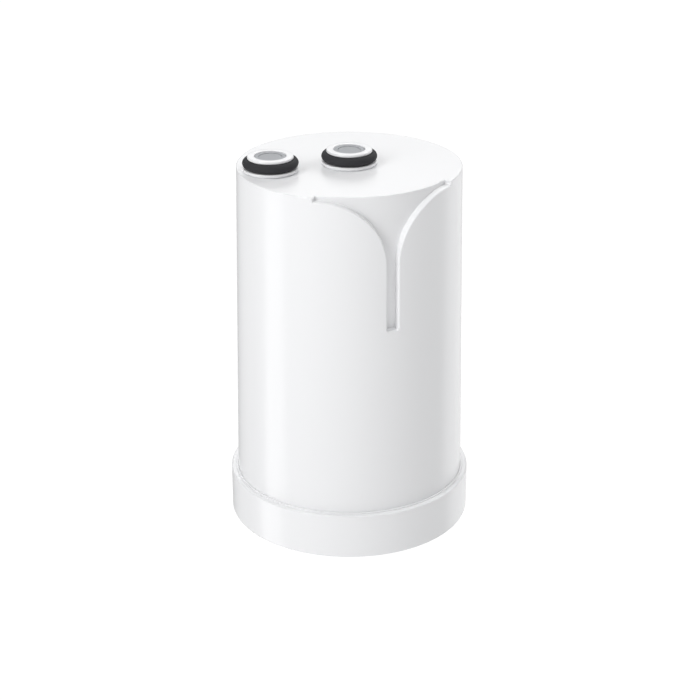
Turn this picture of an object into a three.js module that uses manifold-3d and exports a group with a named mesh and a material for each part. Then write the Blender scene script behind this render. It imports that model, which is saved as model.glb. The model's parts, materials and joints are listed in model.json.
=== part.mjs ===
// A replaceable twin-port water filter cartridge, in millimetres, +Z up.
// The origin is the centre of the foot: the cartridge stands on z = 0 and its ports point up.
// The keyway side is the front, -Y. An azimuth is counted from -Y towards +X.
import * as THREE from "three";
import { mergeVertices } from "three/addons/utils/BufferGeometryUtils.js";
import Module from "manifold-3d";

// ---- driving dimensions -------------------------------------------------------------------
const DECK_HEIGHT = 100.6; // foot to the flat top
const DECK_RADIUS = 30; // outer radius of the shell at its flat top
const DRAFT = Math.tan(THREE.MathUtils.degToRad(1)); // the shell widens towards the foot
const WALL = 2.4; // shell wall
const DECK_THICKNESS = 3;
const RIM_CHAMFER = 0.4;

const RING_LEDGE = 1.86; // the base cap's skirt stands out from the shell by this
const RING_HEIGHT = 12.5;
const RING_CHAMFER = 0.45;
const FOOT_WIDTH = 3.6; // flat annulus that the cartridge stands on
const FOOT_RECESS = 2; // the cap's floor is set up by this
const CAP_FLOOR = 2.5;
const CAP_PLUG_HEIGHT = 7.5;
const CAP_PLUG_WALL = 2.6;
const CAP_RIBS = 8; // stiffening ribs under the cap's floor
const RIB_WIDTH = 1.6;
const RIB_DEPTH = 1.3;
const CAP_HUB_RADIUS = 7;

const KEY_AZIMUTH = 21.7; // degrees
const KEY_DEPTH = 2;
const SLOT_WIDTH = 3.2;
const SLOT_LENGTH = 36.2; // deck to the slot's closed end
const FUNNEL_RADIUS = 17; // quarter circles that lead into the slot
const FUNNEL_DROP = 1.2; // the funnel's flat ends lie this far under the deck
const FUNNEL_REACH = 20.8; // half the funnel's width along the shell

const INLET_EDGE = 8.5; // inlet axis to the deck's edge
const INLET_AZIMUTH = -73.5; // degrees
const PORT_BORE = 4.2; // radius
const SPIGOT_WALL = 0.75; // between the bore and the O-ring groove
const COLLAR_STEP = 2.35; // collar and land stand out from the groove by these
const LAND_STEP = 1.15;
const COLLAR_TOP = 1; // above the deck
const LAND_HEIGHT = 0.7;
const LAND_CHAMFER = 0.35;
const PORT_RING_SECTION = 1.2; // radius of the port O-ring's section

const LIP_SET_BACK = 0.25; // sleeve top under the port rim
const NOSE_SET_BACK = 0.15; // poppet nose under the sleeve top
const LIP_THICKNESS = 0.7;
const LIP_WIDTH = 0.55; // the sleeve's lip reaches in by this
const SLEEVE_LENGTH = 9.5;
const SLEEVE_WALL = 0.55;
const VALVE_SEAL_HEIGHT = 0.45;
const VALVE_SEAL_WIDTH = 0.45;
const SHOULDER_HEIGHT = 0.9;
const SHOULDER_STEP = 0.35; // the shoulder stands out from the nose by this
const STEM_RADIUS = 1;
const STEM_TAIL = 0.4; // stem past the spider
const SPIDER_HEIGHT = 1.1;
const SPIDER_RIM = 0.4;
const SPIDER_HUB = 1.8; // radius
const SPIDER_ARM = 0.7; // width
const SPIDER_ARMS = 3;
const SPRING_RADIUS = 2.3; // to the wire's centre
const SPRING_WIRE = 0.2; // radius
const SPRING_TURNS = 5;

const BOSS_WALL = 2;
const OUTLET_BOSS_LENGTH = 9.6; // under the deck's underside
const OUTLET_SOCKET = 6; // radius of the counterbore that takes the element's nipple
const BOSS_TAIL = 2.2; // inlet boss past the sleeve
const STRAINER_FLANGE = 1.2;
const STRAINER_DEPTH = 4.6;
const STRAINER_FLANGE_STEP = 0.85; // the flange stands out from the basket by this
const STRAINER_WALL = 0.6;
const STRAINER_SLOTS = 8;
const STRAINER_SLOT_WIDTH = 0.8;

const ELEMENT_HEADROOM = 1.5; // element under the outlet boss
const PAD_HEIGHT = 4; // support ring between the base cap and the element
const END_CAP_DISC = 2.5;
const END_CAP_SKIRT = 4;
const END_CAP_WALL = 0.75;
const NIPPLE_RADIUS = 5.6;
const NIPPLE_BORE = 3.6;
const NIPPLE_GAP = 1; // nipple under the valve sleeve
const NIPPLE_RING_SECTION = 0.85; // radius
const NIPPLE_RING_BELOW_TOP = 3;
const NETTING_THICKNESS = 0.4;
const NETTING_COLUMNS = 8;
const NETTING_ROWS = 4;
const NETTING_STRAND = 1.6;
const FLEECE_THICKNESS = 0.95;
const CARBON_BORE = 13; // radius
const CORE_WALL = 0.95;
const CORE_COLUMNS = 4;
const CORE_ROWS = 4;
const CORE_SLOT_WIDTH = 3;
const CORE_BRIDGE = 4;
const POTTING_LENGTH = 6;
const OUTLET_CHAMBER = 2; // between the potting and the top cap
const BUNDLE_RADIUS = 10.4;
const BUNDLE_FLOOR = 2; // bundle above the bottom cap's plug
const BOTTOM_PLUG = 3;
const PAD_WIDTH = 4;
const PAD_RADIUS = 18; // middle of the support ring's width

// ---- clearances ---------------------------------------------------------------------------
const PRESSED = 0.05; // pieces that are pushed or welded together
const RUNNING = 0.1; // poppet nose in its lip, stem in its guide
const LOOSE = 0.4;

// ---- facets -------------------------------------------------------------------------------
const AROUND_SHELL = 48;
const AROUND_PORT = 24;
const AROUND_VALVE = 16;
const AROUND_ELEMENT = 24;
const AROUND_SECTION = 8; // O-ring sections

// ---- places worked out from the dimensions --------------------------------------------------
const shellRadius = (z) => DECK_RADIUS + (DECK_HEIGHT - z) * DRAFT;
const shellBore = (z) => shellRadius(z) - WALL;
const SLOT_BOTTOM = DECK_HEIGHT - SLOT_LENGTH;
const RING_RADIUS = shellRadius(RING_HEIGHT) + RING_LEDGE;
const CAP_FLOOR_TOP = FOOT_RECESS + CAP_FLOOR;
const SHELL_BOTTOM = CAP_FLOOR_TOP + LOOSE;
const DECK_UNDERSIDE = DECK_HEIGHT - DECK_THICKNESS;
const COLLAR_HEIGHT = DECK_HEIGHT + COLLAR_TOP;
const LAND_BOTTOM = COLLAR_HEIGHT + 2 * (PORT_RING_SECTION + PRESSED);
const PORT_RIM = LAND_BOTTOM + LAND_HEIGHT;
const GROOVE_RADIUS = PORT_BORE + SPIGOT_WALL;
const SLEEVE_TOP = PORT_RIM - LIP_SET_BACK;
const SLEEVE_BOTTOM = SLEEVE_TOP - SLEEVE_LENGTH;
const SLEEVE_RADIUS = PORT_BORE - PRESSED;
const SLEEVE_BORE = SLEEVE_RADIUS - SLEEVE_WALL;
const LIP_BORE = SLEEVE_BORE - LIP_WIDTH;
const NOSE_RADIUS = LIP_BORE - RUNNING;
const LIP_UNDERSIDE = SLEEVE_TOP - LIP_THICKNESS;
const SHOULDER_TOP = LIP_UNDERSIDE - VALVE_SEAL_HEIGHT - PRESSED;
const SHOULDER_UNDERSIDE = SHOULDER_TOP - SHOULDER_HEIGHT;
const SPIDER_BOTTOM = SLEEVE_BOTTOM + PRESSED;
const SPIDER_TOP = SPIDER_BOTTOM + SPIDER_HEIGHT;
const INLET_BOSS_BOTTOM = SLEEVE_BOTTOM - BOSS_TAIL;
const OUTLET_BOSS_BOTTOM = DECK_UNDERSIDE - OUTLET_BOSS_LENGTH;
const ELEMENT_RADIUS = DECK_RADIUS - KEY_DEPTH - WALL - LOOSE;
const ELEMENT_BOTTOM = CAP_FLOOR_TOP + PAD_HEIGHT;
const ELEMENT_TOP = OUTLET_BOSS_BOTTOM - ELEMENT_HEADROOM;
const LAYER_BOTTOM = ELEMENT_BOTTOM + END_CAP_DISC + PRESSED;
const LAYER_TOP = ELEMENT_TOP - END_CAP_DISC - PRESSED;
const NETTING_RADIUS = ELEMENT_RADIUS - END_CAP_WALL - 3 * PRESSED;
const FLEECE_RADIUS = NETTING_RADIUS - NETTING_THICKNESS - PRESSED;
const CARBON_RADIUS = FLEECE_RADIUS - FLEECE_THICKNESS - PRESSED;
const CORE_RADIUS = CARBON_BORE - 3 * PRESSED;
const CORE_BORE = CORE_RADIUS - CORE_WALL;
const POTTING_TOP = LAYER_TOP - OUTLET_CHAMBER;
const POTTING_BOTTOM = POTTING_TOP - POTTING_LENGTH;
const PLUG_TOP = LAYER_BOTTOM + BOTTOM_PLUG;

const inletAngle = THREE.MathUtils.degToRad(INLET_AZIMUTH);
const inletPitch = DECK_RADIUS - INLET_EDGE;
const OUTLET = new THREE.Vector2(0, 0);
const INLET = new THREE.Vector2(inletPitch * Math.sin(inletAngle), -inletPitch * Math.cos(inletAngle));

// ---- materials ----------------------------------------------------------------------------
const FINISHES = {
  shellWhite: { color: 0xf3f4f6, roughness: 0.18, metalness: 0 },
  sealRubber: { color: 0x2c2d31, roughness: 0.55, metalness: 0 },
  valveGrey: { color: 0xaeb0b4, roughness: 0.45, metalness: 0 },
  springSteel: { color: 0xc3c6ca, roughness: 0.3, metalness: 1 },
  elementPlastic: { color: 0xe6e8ea, roughness: 0.5, metalness: 0 },
  nettingPlastic: { color: 0xdde3e8, roughness: 0.6, metalness: 0 },
  fleece: { color: 0xf1f0ea, roughness: 0.95, metalness: 0 },
  carbon: { color: 0x1d1d1f, roughness: 0.9, metalness: 0 },
  fibre: { color: 0xf6f5ef, roughness: 0.7, metalness: 0 },
  resin: { color: 0xd9c9a0, roughness: 0.25, metalness: 0 },
};

// ---- helpers ------------------------------------------------------------------------------
const wasm = await Module();
wasm.setup();

// A closed geometry as a manifold-3d solid.
function solidOf(geometry) {
  const bare = geometry.clone();
  bare.deleteAttribute("normal");
  bare.deleteAttribute("uv");
  const merged = mergeVertices(bare, 1e-3);
  const triVerts = new Uint32Array(merged.index.array);
  const vertProperties = new Float32Array(merged.attributes.position.array);
  return new wasm.Manifold(new wasm.Mesh({ numProp: 3, vertProperties, triVerts }));
}

// A manifold-3d solid as a geometry.
function geometryOf(solid) {
  const mesh = solid.getMesh();
  const positions = new Float32Array(mesh.numVert * 3);
  for (let i = 0; i < mesh.numVert; i++) {
    const from = i * mesh.numProp;
    positions.set(mesh.vertProperties.subarray(from, from + 3), i * 3);
  }
  const geometry = new THREE.BufferGeometry();
  geometry.setAttribute("position", new THREE.BufferAttribute(positions, 3));
  geometry.setIndex(new THREE.BufferAttribute(new Uint32Array(mesh.triVerts), 1));
  geometry.computeVertexNormals();
  return geometry;
}

// A solid turned round the Z axis from [radius, z] points. They run anticlockwise, bottom right first,
// from axis to axis, or all the way round when the piece is a ring.
function turned(points, around, ring = false) {
  const profile = points.map(([r, z]) => new THREE.Vector2(r, z));
  if (ring) profile.push(profile[0].clone());
  return new THREE.LatheGeometry(profile, around).rotateX(Math.PI / 2);
}

// A plain tube with square ends.
function tube(inner, outer, bottom, top, around) {
  const corners = [
    [outer, bottom],
    [outer, top],
    [inner, top],
    [inner, bottom],
  ];
  return turned(corners, around, true);
}

// A plain round bar.
function bar(radius, bottom, top, around) {
  const corners = [
    [0, bottom],
    [radius, bottom],
    [radius, top],
    [0, top],
  ];
  return turned(corners, around);
}

// A ring of round section.
function roundRing(middle, section, z, around) {
  const points = [];
  for (let i = 0; i < AROUND_SECTION; i++) {
    const angle = (i / AROUND_SECTION) * 2 * Math.PI;
    points.push([middle + section * Math.cos(angle), z + section * Math.sin(angle)]);
  }
  return turned(points, around, true);
}

// A tube with rows and columns of square windows through its wall.
function windowed(inner, outer, bottom, top, around, columns, rows, width, bridge) {
  let solid = solidOf(tube(inner, outer, bottom, top, around));
  const height = (top - bottom - (rows + 1) * bridge) / rows;
  for (let column = 0; column < columns; column++) {
    const angle = ((column + 0.5) / columns) * 2 * Math.PI;
    for (let row = 0; row < rows; row++) {
      const z = bottom + bridge + height / 2 + row * (height + bridge);
      const box = new THREE.BoxGeometry(2 * (outer - inner) + 2, width, height);
      box.translate((inner + outer) / 2, 0, z);
      box.rotateZ(angle);
      solid = solid.subtract(solidOf(box));
    }
  }
  return geometryOf(solid);
}

const group = new THREE.Group();

// Adds a named mesh to the cartridge, at a port's axis when one is given.
function add(name, geometry, finish, at = OUTLET) {
  const mesh = new THREE.Mesh(geometry, new THREE.MeshStandardMaterial(FINISHES[finish]));
  mesh.name = name;
  mesh.position.set(at.x, at.y, 0);
  group.add(mesh);
}

// ---- outer shell --------------------------------------------------------------------------
// The keyway's outline, grown outwards by a margin, as a solid whose walls point at the axis.
function keywayWedge(margin) {
  const half = SLOT_WIDTH / 2 + margin;
  const reach = FUNNEL_REACH + margin;
  const ledge = DECK_HEIGHT - FUNNEL_DROP - margin;
  const radius = FUNNEL_RADIUS - margin;
  const centre = SLOT_WIDTH / 2 + FUNNEL_RADIUS;
  const above = DECK_HEIGHT + 2;
  const outline = new THREE.Shape();
  outline.moveTo(-half, SLOT_BOTTOM - margin);
  outline.lineTo(half, SLOT_BOTTOM - margin);
  outline.absarc(centre, ledge - radius, radius, Math.PI, Math.PI / 2, true);
  outline.lineTo(reach, ledge);
  outline.lineTo(reach, above);
  outline.lineTo(-reach, above);
  outline.lineTo(-reach, ledge);
  outline.absarc(-centre, ledge - radius, radius, Math.PI / 2, 0, true);
  outline.closePath();
  const wedge = new THREE.ExtrudeGeometry(outline, { depth: 1, bevelEnabled: false, curveSegments: 9 });
  const inner = DECK_RADIUS / 2;
  const outer = DECK_RADIUS * 2;
  const azimuth = THREE.MathUtils.degToRad(KEY_AZIMUTH);
  const place = wedge.attributes.position;
  for (let i = 0; i < place.count; i++) {
    const angle = azimuth + place.getX(i) / DECK_RADIUS;
    const r = inner + (outer - inner) * place.getZ(i);
    place.setXYZ(i, r * Math.sin(angle), -r * Math.cos(angle), place.getY(i));
  }
  return solidOf(wedge);
}

// A drafted band of the shell between two depths under its outer face.
function shellBand(shallow, deep, bottom, top) {
  const corners = [
    [shellRadius(bottom) - shallow, bottom],
    [shellRadius(top) - shallow, top],
    [shellRadius(top) - deep, top],
    [shellRadius(bottom) - deep, bottom],
  ];
  return solidOf(turned(corners, AROUND_SHELL, true));
}

// A port's outside from its boss inside the shell to its rim.
function spigot(bossRadius, bossBottom, at) {
  const inDeck = DECK_HEIGHT - DECK_THICKNESS / 2;
  const outside = [
    [0, bossBottom],
    [bossRadius, bossBottom],
    [bossRadius, inDeck],
    [GROOVE_RADIUS + COLLAR_STEP, inDeck],
    [GROOVE_RADIUS + COLLAR_STEP, COLLAR_HEIGHT],
    [GROOVE_RADIUS, COLLAR_HEIGHT],
    [GROOVE_RADIUS, LAND_BOTTOM],
    [GROOVE_RADIUS + LAND_STEP, LAND_BOTTOM],
    [GROOVE_RADIUS + LAND_STEP, PORT_RIM - LAND_CHAMFER],
    [GROOVE_RADIUS + LAND_STEP - LAND_CHAMFER, PORT_RIM],
    [0, PORT_RIM],
  ];
  return solidOf(turned(outside, AROUND_PORT).translate(at.x, at.y, 0));
}

function outerShell() {
  const cup = [
    [shellRadius(SHELL_BOTTOM), SHELL_BOTTOM],
    [shellRadius(DECK_HEIGHT - RIM_CHAMFER), DECK_HEIGHT - RIM_CHAMFER],
    [DECK_RADIUS - RIM_CHAMFER, DECK_HEIGHT],
    [0, DECK_HEIGHT],
    [0, DECK_UNDERSIDE],
    [shellBore(DECK_UNDERSIDE), DECK_UNDERSIDE],
    [shellBore(SHELL_BOTTOM), SHELL_BOTTOM],
  ];
  const padBottom = SLOT_BOTTOM - 2 * WALL;
  const padTop = DECK_HEIGHT - DECK_THICKNESS / 2;
  const behindKeyway = shellBand(WALL / 2, KEY_DEPTH + WALL, padBottom, padTop);
  const keyway = shellBand(-DECK_RADIUS / 4, KEY_DEPTH, padBottom, DECK_HEIGHT + 1);
  const bore = bar(PORT_BORE, OUTLET_BOSS_BOTTOM - 1, PORT_RIM + 1, AROUND_PORT);
  const socketTop = SLEEVE_BOTTOM - PRESSED;
  const socket = bar(OUTLET_SOCKET, OUTLET_BOSS_BOTTOM - 1, socketTop, AROUND_PORT);
  const shell = solidOf(turned(cup, AROUND_SHELL, true))
    .add(behindKeyway.intersect(keywayWedge(WALL)))
    .subtract(keyway.intersect(keywayWedge(0)))
    .add(spigot(OUTLET_SOCKET + BOSS_WALL, OUTLET_BOSS_BOTTOM, OUTLET))
    .add(spigot(PORT_BORE + BOSS_WALL, INLET_BOSS_BOTTOM, INLET))
    .subtract(solidOf(bore))
    .subtract(solidOf(bore.clone().translate(INLET.x, INLET.y, 0)))
    .subtract(solidOf(socket));
  return geometryOf(shell);
}
add("outer_shell", outerShell(), "shellWhite");

// ---- base cap -----------------------------------------------------------------------------
const PLUG_TOP_Z = CAP_FLOOR_TOP + CAP_PLUG_HEIGHT;
const PLUG_RADIUS = shellBore(PLUG_TOP_Z) - 3 * PRESSED;
const SEAL_SEAT = 1.5; // depth of the groove round the plug
const SEAL_HEIGHT = 2.4;
const SEAL_BOTTOM = CAP_FLOOR_TOP + (CAP_PLUG_HEIGHT - SEAL_HEIGHT) / 2;
const SEAL_TOP = SEAL_BOTTOM + SEAL_HEIGHT;
const SKIRT_BORE = shellRadius(SHELL_BOTTOM) + PRESSED;

function baseCap() {
  const footInner = RING_RADIUS - RING_CHAMFER - FOOT_WIDTH;
  const groove = PLUG_RADIUS - SEAL_SEAT;
  const section = [
    [0, FOOT_RECESS],
    [footInner, FOOT_RECESS],
    [footInner, 0],
    [RING_RADIUS - RING_CHAMFER, 0],
    [RING_RADIUS, RING_CHAMFER],
    [RING_RADIUS, RING_HEIGHT - RING_CHAMFER],
    [RING_RADIUS - RING_CHAMFER, RING_HEIGHT],
    [SKIRT_BORE, RING_HEIGHT],
    [SKIRT_BORE, CAP_FLOOR_TOP],
    [PLUG_RADIUS, CAP_FLOOR_TOP],
    [PLUG_RADIUS, SEAL_BOTTOM],
    [groove, SEAL_BOTTOM],
    [groove, SEAL_TOP],
    [PLUG_RADIUS, SEAL_TOP],
    [PLUG_RADIUS, PLUG_TOP_Z],
    [PLUG_RADIUS - CAP_PLUG_WALL, PLUG_TOP_Z],
    [PLUG_RADIUS - CAP_PLUG_WALL, CAP_FLOOR_TOP],
    [0, CAP_FLOOR_TOP],
  ];
  let cap = solidOf(turned(section, AROUND_SHELL));
  const sunk = 0.5; // how far ribs and hub start inside the floor
  const ribBottom = FOOT_RECESS - RIB_DEPTH;
  const length = footInner + FOOT_WIDTH / 2;
  for (let i = 0; i < CAP_RIBS; i++) {
    const rib = new THREE.BoxGeometry(length, RIB_WIDTH, RIB_DEPTH + sunk);
    rib.translate(length / 2, 0, ribBottom + (RIB_DEPTH + sunk) / 2);
    rib.rotateZ(((i + 0.5) / CAP_RIBS) * 2 * Math.PI);
    cap = cap.add(solidOf(rib));
  }
  const hub = bar(CAP_HUB_RADIUS, ribBottom, FOOT_RECESS + sunk, AROUND_PORT);
  return geometryOf(cap.add(solidOf(hub)));
}
add("base_cap", baseCap(), "shellWhite");

const sealOuter = shellBore(SEAL_TOP) - PRESSED;
const sealInner = PLUG_RADIUS - SEAL_SEAT + PRESSED;
const sealProfile = [
  [sealOuter - 0.5, SEAL_BOTTOM + PRESSED],
  [sealOuter, SEAL_BOTTOM + 0.6],
  [sealOuter, SEAL_TOP - 0.6],
  [sealOuter - 0.5, SEAL_TOP - PRESSED],
  [sealInner, SEAL_TOP - PRESSED],
  [sealInner, SEAL_BOTTOM + PRESSED],
];
add("base_cap_seal", turned(sealProfile, AROUND_SHELL, true), "sealRubber");

// ---- ports and their stop valves ------------------------------------------------------------
class Helix extends THREE.Curve {
  getPoint(t, target = new THREE.Vector3()) {
    const angle = t * SPRING_TURNS * 2 * Math.PI;
    const low = SPIDER_TOP + SPRING_WIRE + PRESSED;
    const high = SHOULDER_UNDERSIDE - SPRING_WIRE - PRESSED;
    const z = low + (high - low) * t;
    return target.set(SPRING_RADIUS * Math.cos(angle), SPRING_RADIUS * Math.sin(angle), z);
  }
}

function valveSpring() {
  const section = new THREE.Shape();
  section.absarc(0, 0, SPRING_WIRE, 0, 2 * Math.PI, false);
  const steps = SPRING_TURNS * 8;
  const options = { extrudePath: new Helix(), steps, bevelEnabled: false, curveSegments: 3 };
  return new THREE.ExtrudeGeometry(section, options);
}

function valveSleeve() {
  const chamfer = LIP_SET_BACK / 2;
  const section = [
    [SLEEVE_RADIUS, SLEEVE_BOTTOM],
    [SLEEVE_RADIUS, SLEEVE_TOP - chamfer],
    [SLEEVE_RADIUS - chamfer, SLEEVE_TOP],
    [LIP_BORE, SLEEVE_TOP],
    [LIP_BORE, LIP_UNDERSIDE],
    [SLEEVE_BORE, LIP_UNDERSIDE],
    [SLEEVE_BORE, SLEEVE_BOTTOM],
  ];
  return turned(section, AROUND_VALVE, true);
}

function valvePoppet() {
  const shoulder = NOSE_RADIUS + SHOULDER_STEP;
  const section = [
    [0, SPIDER_BOTTOM - STEM_TAIL],
    [STEM_RADIUS, SPIDER_BOTTOM - STEM_TAIL],
    [STEM_RADIUS, SHOULDER_UNDERSIDE],
    [shoulder, SHOULDER_UNDERSIDE],
    [shoulder, SHOULDER_TOP],
    [NOSE_RADIUS, SHOULDER_TOP],
    [NOSE_RADIUS, SLEEVE_TOP - NOSE_SET_BACK],
    [0, SLEEVE_TOP - NOSE_SET_BACK],
  ];
  return turned(section, AROUND_VALVE);
}

function valveSeal() {
  const inner = NOSE_RADIUS + PRESSED;
  const bottom = SHOULDER_TOP + PRESSED / 2;
  return tube(inner, inner + VALVE_SEAL_WIDTH, bottom, bottom + VALVE_SEAL_HEIGHT, AROUND_VALVE);
}

// The spring's seat: a rim, a hub that guides the stem, and arms with water ways between them.
function valveSpider() {
  const rim = SLEEVE_BORE - PRESSED;
  let spider = solidOf(tube(rim - SPIDER_RIM, rim, SPIDER_BOTTOM, SPIDER_TOP, AROUND_VALVE));
  const hubBore = STEM_RADIUS + RUNNING;
  const hub = tube(hubBore, SPIDER_HUB + SPRING_WIRE, SPIDER_BOTTOM, SPIDER_TOP, AROUND_VALVE);
  spider = spider.add(solidOf(hub));
  const start = SPIDER_HUB - SPRING_WIRE;
  const length = rim - SPIDER_RIM / 2 - start;
  for (let i = 0; i < SPIDER_ARMS; i++) {
    const arm = new THREE.BoxGeometry(length, SPIDER_ARM, SPIDER_HEIGHT);
    arm.translate(start + length / 2, 0, SPIDER_BOTTOM + SPIDER_HEIGHT / 2);
    arm.rotateZ((i / SPIDER_ARMS) * 2 * Math.PI);
    spider = spider.add(solidOf(arm));
  }
  return geometryOf(spider);
}

const portRingMiddle = GROOVE_RADIUS + PRESSED + PORT_RING_SECTION;
const portRingHeight = (COLLAR_HEIGHT + LAND_BOTTOM) / 2;
for (const [port, at] of Object.entries({ inlet: INLET, outlet: OUTLET })) {
  const oRing = roundRing(portRingMiddle, PORT_RING_SECTION, portRingHeight, AROUND_PORT);
  add(port + "_port_o_ring", oRing, "sealRubber", at);
  add(port + "_valve_sleeve", valveSleeve(), "valveGrey", at);
  add(port + "_valve_poppet", valvePoppet(), "valveGrey", at);
  add(port + "_valve_seal", valveSeal(), "sealRubber", at);
  add(port + "_valve_spring", valveSpring(), "springSteel", at);
  add(port + "_valve_spider", valveSpider(), "valveGrey", at);
}

// ---- inlet strainer -------------------------------------------------------------------------
// A slotted thimble with a flange that is pushed into the inlet boss under the valve.
function inletStrainer() {
  const top = SLEEVE_BOTTOM - PRESSED;
  const flangeBottom = top - STRAINER_FLANGE;
  const bottom = flangeBottom - STRAINER_DEPTH;
  const basket = SLEEVE_RADIUS - STRAINER_FLANGE_STEP;
  const section = [
    [0, bottom],
    [basket, bottom],
    [basket, flangeBottom],
    [SLEEVE_RADIUS, flangeBottom],
    [SLEEVE_RADIUS, top],
    [basket - STRAINER_WALL, top],
    [basket - STRAINER_WALL, bottom + STRAINER_WALL],
    [0, bottom + STRAINER_WALL],
  ];
  let thimble = solidOf(turned(section, AROUND_VALVE));
  const height = STRAINER_DEPTH - 3 * STRAINER_WALL;
  for (let i = 0; i < STRAINER_SLOTS; i++) {
    const slot = new THREE.BoxGeometry(2 * STRAINER_WALL + 1, STRAINER_SLOT_WIDTH, height);
    slot.translate(basket - STRAINER_WALL / 2, 0, bottom + 1.5 * STRAINER_WALL + height / 2);
    slot.rotateZ(((i + 0.5) / STRAINER_SLOTS) * 2 * Math.PI);
    thimble = thimble.subtract(solidOf(slot));
  }
  return geometryOf(thimble);
}
add("inlet_strainer", inletStrainer(), "valveGrey", INLET);

// ---- filter element -------------------------------------------------------------------------
const nippleTop = SLEEVE_BOTTOM - NIPPLE_GAP;
const nippleRing = nippleTop - NIPPLE_RING_BELOW_TOP;
const nippleRingMiddle = OUTLET_SOCKET - PRESSED - NIPPLE_RING_SECTION;
const nippleGroove = nippleRingMiddle - NIPPLE_RING_SECTION - PRESSED;
const nippleGrooveHalf = NIPPLE_RING_SECTION + PRESSED;

const topCap = [
  [NIPPLE_BORE, LAYER_TOP + PRESSED],
  [ELEMENT_RADIUS - END_CAP_WALL, LAYER_TOP + PRESSED],
  [ELEMENT_RADIUS - END_CAP_WALL, LAYER_TOP - END_CAP_SKIRT],
  [ELEMENT_RADIUS, LAYER_TOP - END_CAP_SKIRT],
  [ELEMENT_RADIUS, ELEMENT_TOP],
  [NIPPLE_RADIUS, ELEMENT_TOP],
  [NIPPLE_RADIUS, nippleRing - nippleGrooveHalf],
  [nippleGroove, nippleRing - nippleGrooveHalf],
  [nippleGroove, nippleRing + nippleGrooveHalf],
  [NIPPLE_RADIUS, nippleRing + nippleGrooveHalf],
  [NIPPLE_RADIUS, nippleTop],
  [NIPPLE_BORE, nippleTop],
];
add("element_top_cap", turned(topCap, AROUND_ELEMENT, true), "elementPlastic");
const nippleORing = roundRing(nippleRingMiddle, NIPPLE_RING_SECTION, nippleRing, AROUND_ELEMENT);
add("element_outlet_o_ring", nippleORing, "sealRubber");

const plugRadius = CORE_BORE - 3 * PRESSED;
const bottomCap = [
  [0, ELEMENT_BOTTOM],
  [ELEMENT_RADIUS, ELEMENT_BOTTOM],
  [ELEMENT_RADIUS, LAYER_BOTTOM + END_CAP_SKIRT],
  [ELEMENT_RADIUS - END_CAP_WALL, LAYER_BOTTOM + END_CAP_SKIRT],
  [ELEMENT_RADIUS - END_CAP_WALL, LAYER_BOTTOM - PRESSED],
  [plugRadius, LAYER_BOTTOM - PRESSED],
  [plugRadius, PLUG_TOP],
  [0, PLUG_TOP],
];
add("element_bottom_cap", turned(bottomCap, AROUND_ELEMENT), "elementPlastic");

const nettingColumn = (2 * Math.PI * NETTING_RADIUS) / NETTING_COLUMNS;
const netting = windowed(
  NETTING_RADIUS - NETTING_THICKNESS,
  NETTING_RADIUS,
  LAYER_BOTTOM,
  LAYER_TOP,
  AROUND_ELEMENT,
  NETTING_COLUMNS,
  NETTING_ROWS,
  nettingColumn - NETTING_STRAND,
  NETTING_STRAND,
);
add("outer_netting", netting, "nettingPlastic");

const fleece = tube(FLEECE_RADIUS - FLEECE_THICKNESS, FLEECE_RADIUS, LAYER_BOTTOM, LAYER_TOP, AROUND_ELEMENT);
add("prefilter_fleece", fleece, "fleece");
add("carbon_block", tube(CARBON_BORE, CARBON_RADIUS, LAYER_BOTTOM, LAYER_TOP, AROUND_ELEMENT), "carbon");

const core = windowed(
  CORE_BORE,
  CORE_RADIUS,
  LAYER_BOTTOM,
  LAYER_TOP,
  AROUND_ELEMENT,
  CORE_COLUMNS,
  CORE_ROWS,
  CORE_SLOT_WIDTH,
  CORE_BRIDGE,
);
add("core_tube", core, "elementPlastic");

// Hollow fibres stand in the core tube as one bundle, looped at the bottom and potted in resin at the top.
const bundleBottom = PLUG_TOP + BUNDLE_FLOOR;
const loopDepth = BUNDLE_RADIUS / 2;
const bundle = [
  [0, bundleBottom],
  [BUNDLE_RADIUS * Math.SQRT1_2, bundleBottom + loopDepth * (1 - Math.SQRT1_2)],
  [BUNDLE_RADIUS, bundleBottom + loopDepth],
  [BUNDLE_RADIUS, POTTING_BOTTOM - PRESSED],
  [0, POTTING_BOTTOM - PRESSED],
];
add("fibre_bundle", turned(bundle, AROUND_ELEMENT), "fibre");
add("fibre_potting", bar(plugRadius, POTTING_BOTTOM, POTTING_TOP, AROUND_ELEMENT), "resin");

const padBottom = CAP_FLOOR_TOP + PRESSED;
const padTop = ELEMENT_BOTTOM - PRESSED;
const pad = tube(PAD_RADIUS - PAD_WIDTH / 2, PAD_RADIUS + PAD_WIDTH / 2, padBottom, padTop, AROUND_ELEMENT);
add("element_support_ring", pad, "sealRubber");

export default group;
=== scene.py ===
"""Looks of a twin-port water filter cartridge, in metres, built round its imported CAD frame.

The cartridge stands on z = 0 with its ports up and its keyway towards -Y. An azimuth is counted from
-Y towards +X. Every new piece is a surface worked out with numpy: a profile turned round an axis, a
section carried along a path, or a flat region between loops.
"""

import json
import logging
import math
from dataclasses import dataclass
from enum import Enum

import bmesh
import bpy
import numpy as np
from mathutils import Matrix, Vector
from mathutils.geometry import tessellate_polygon


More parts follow.
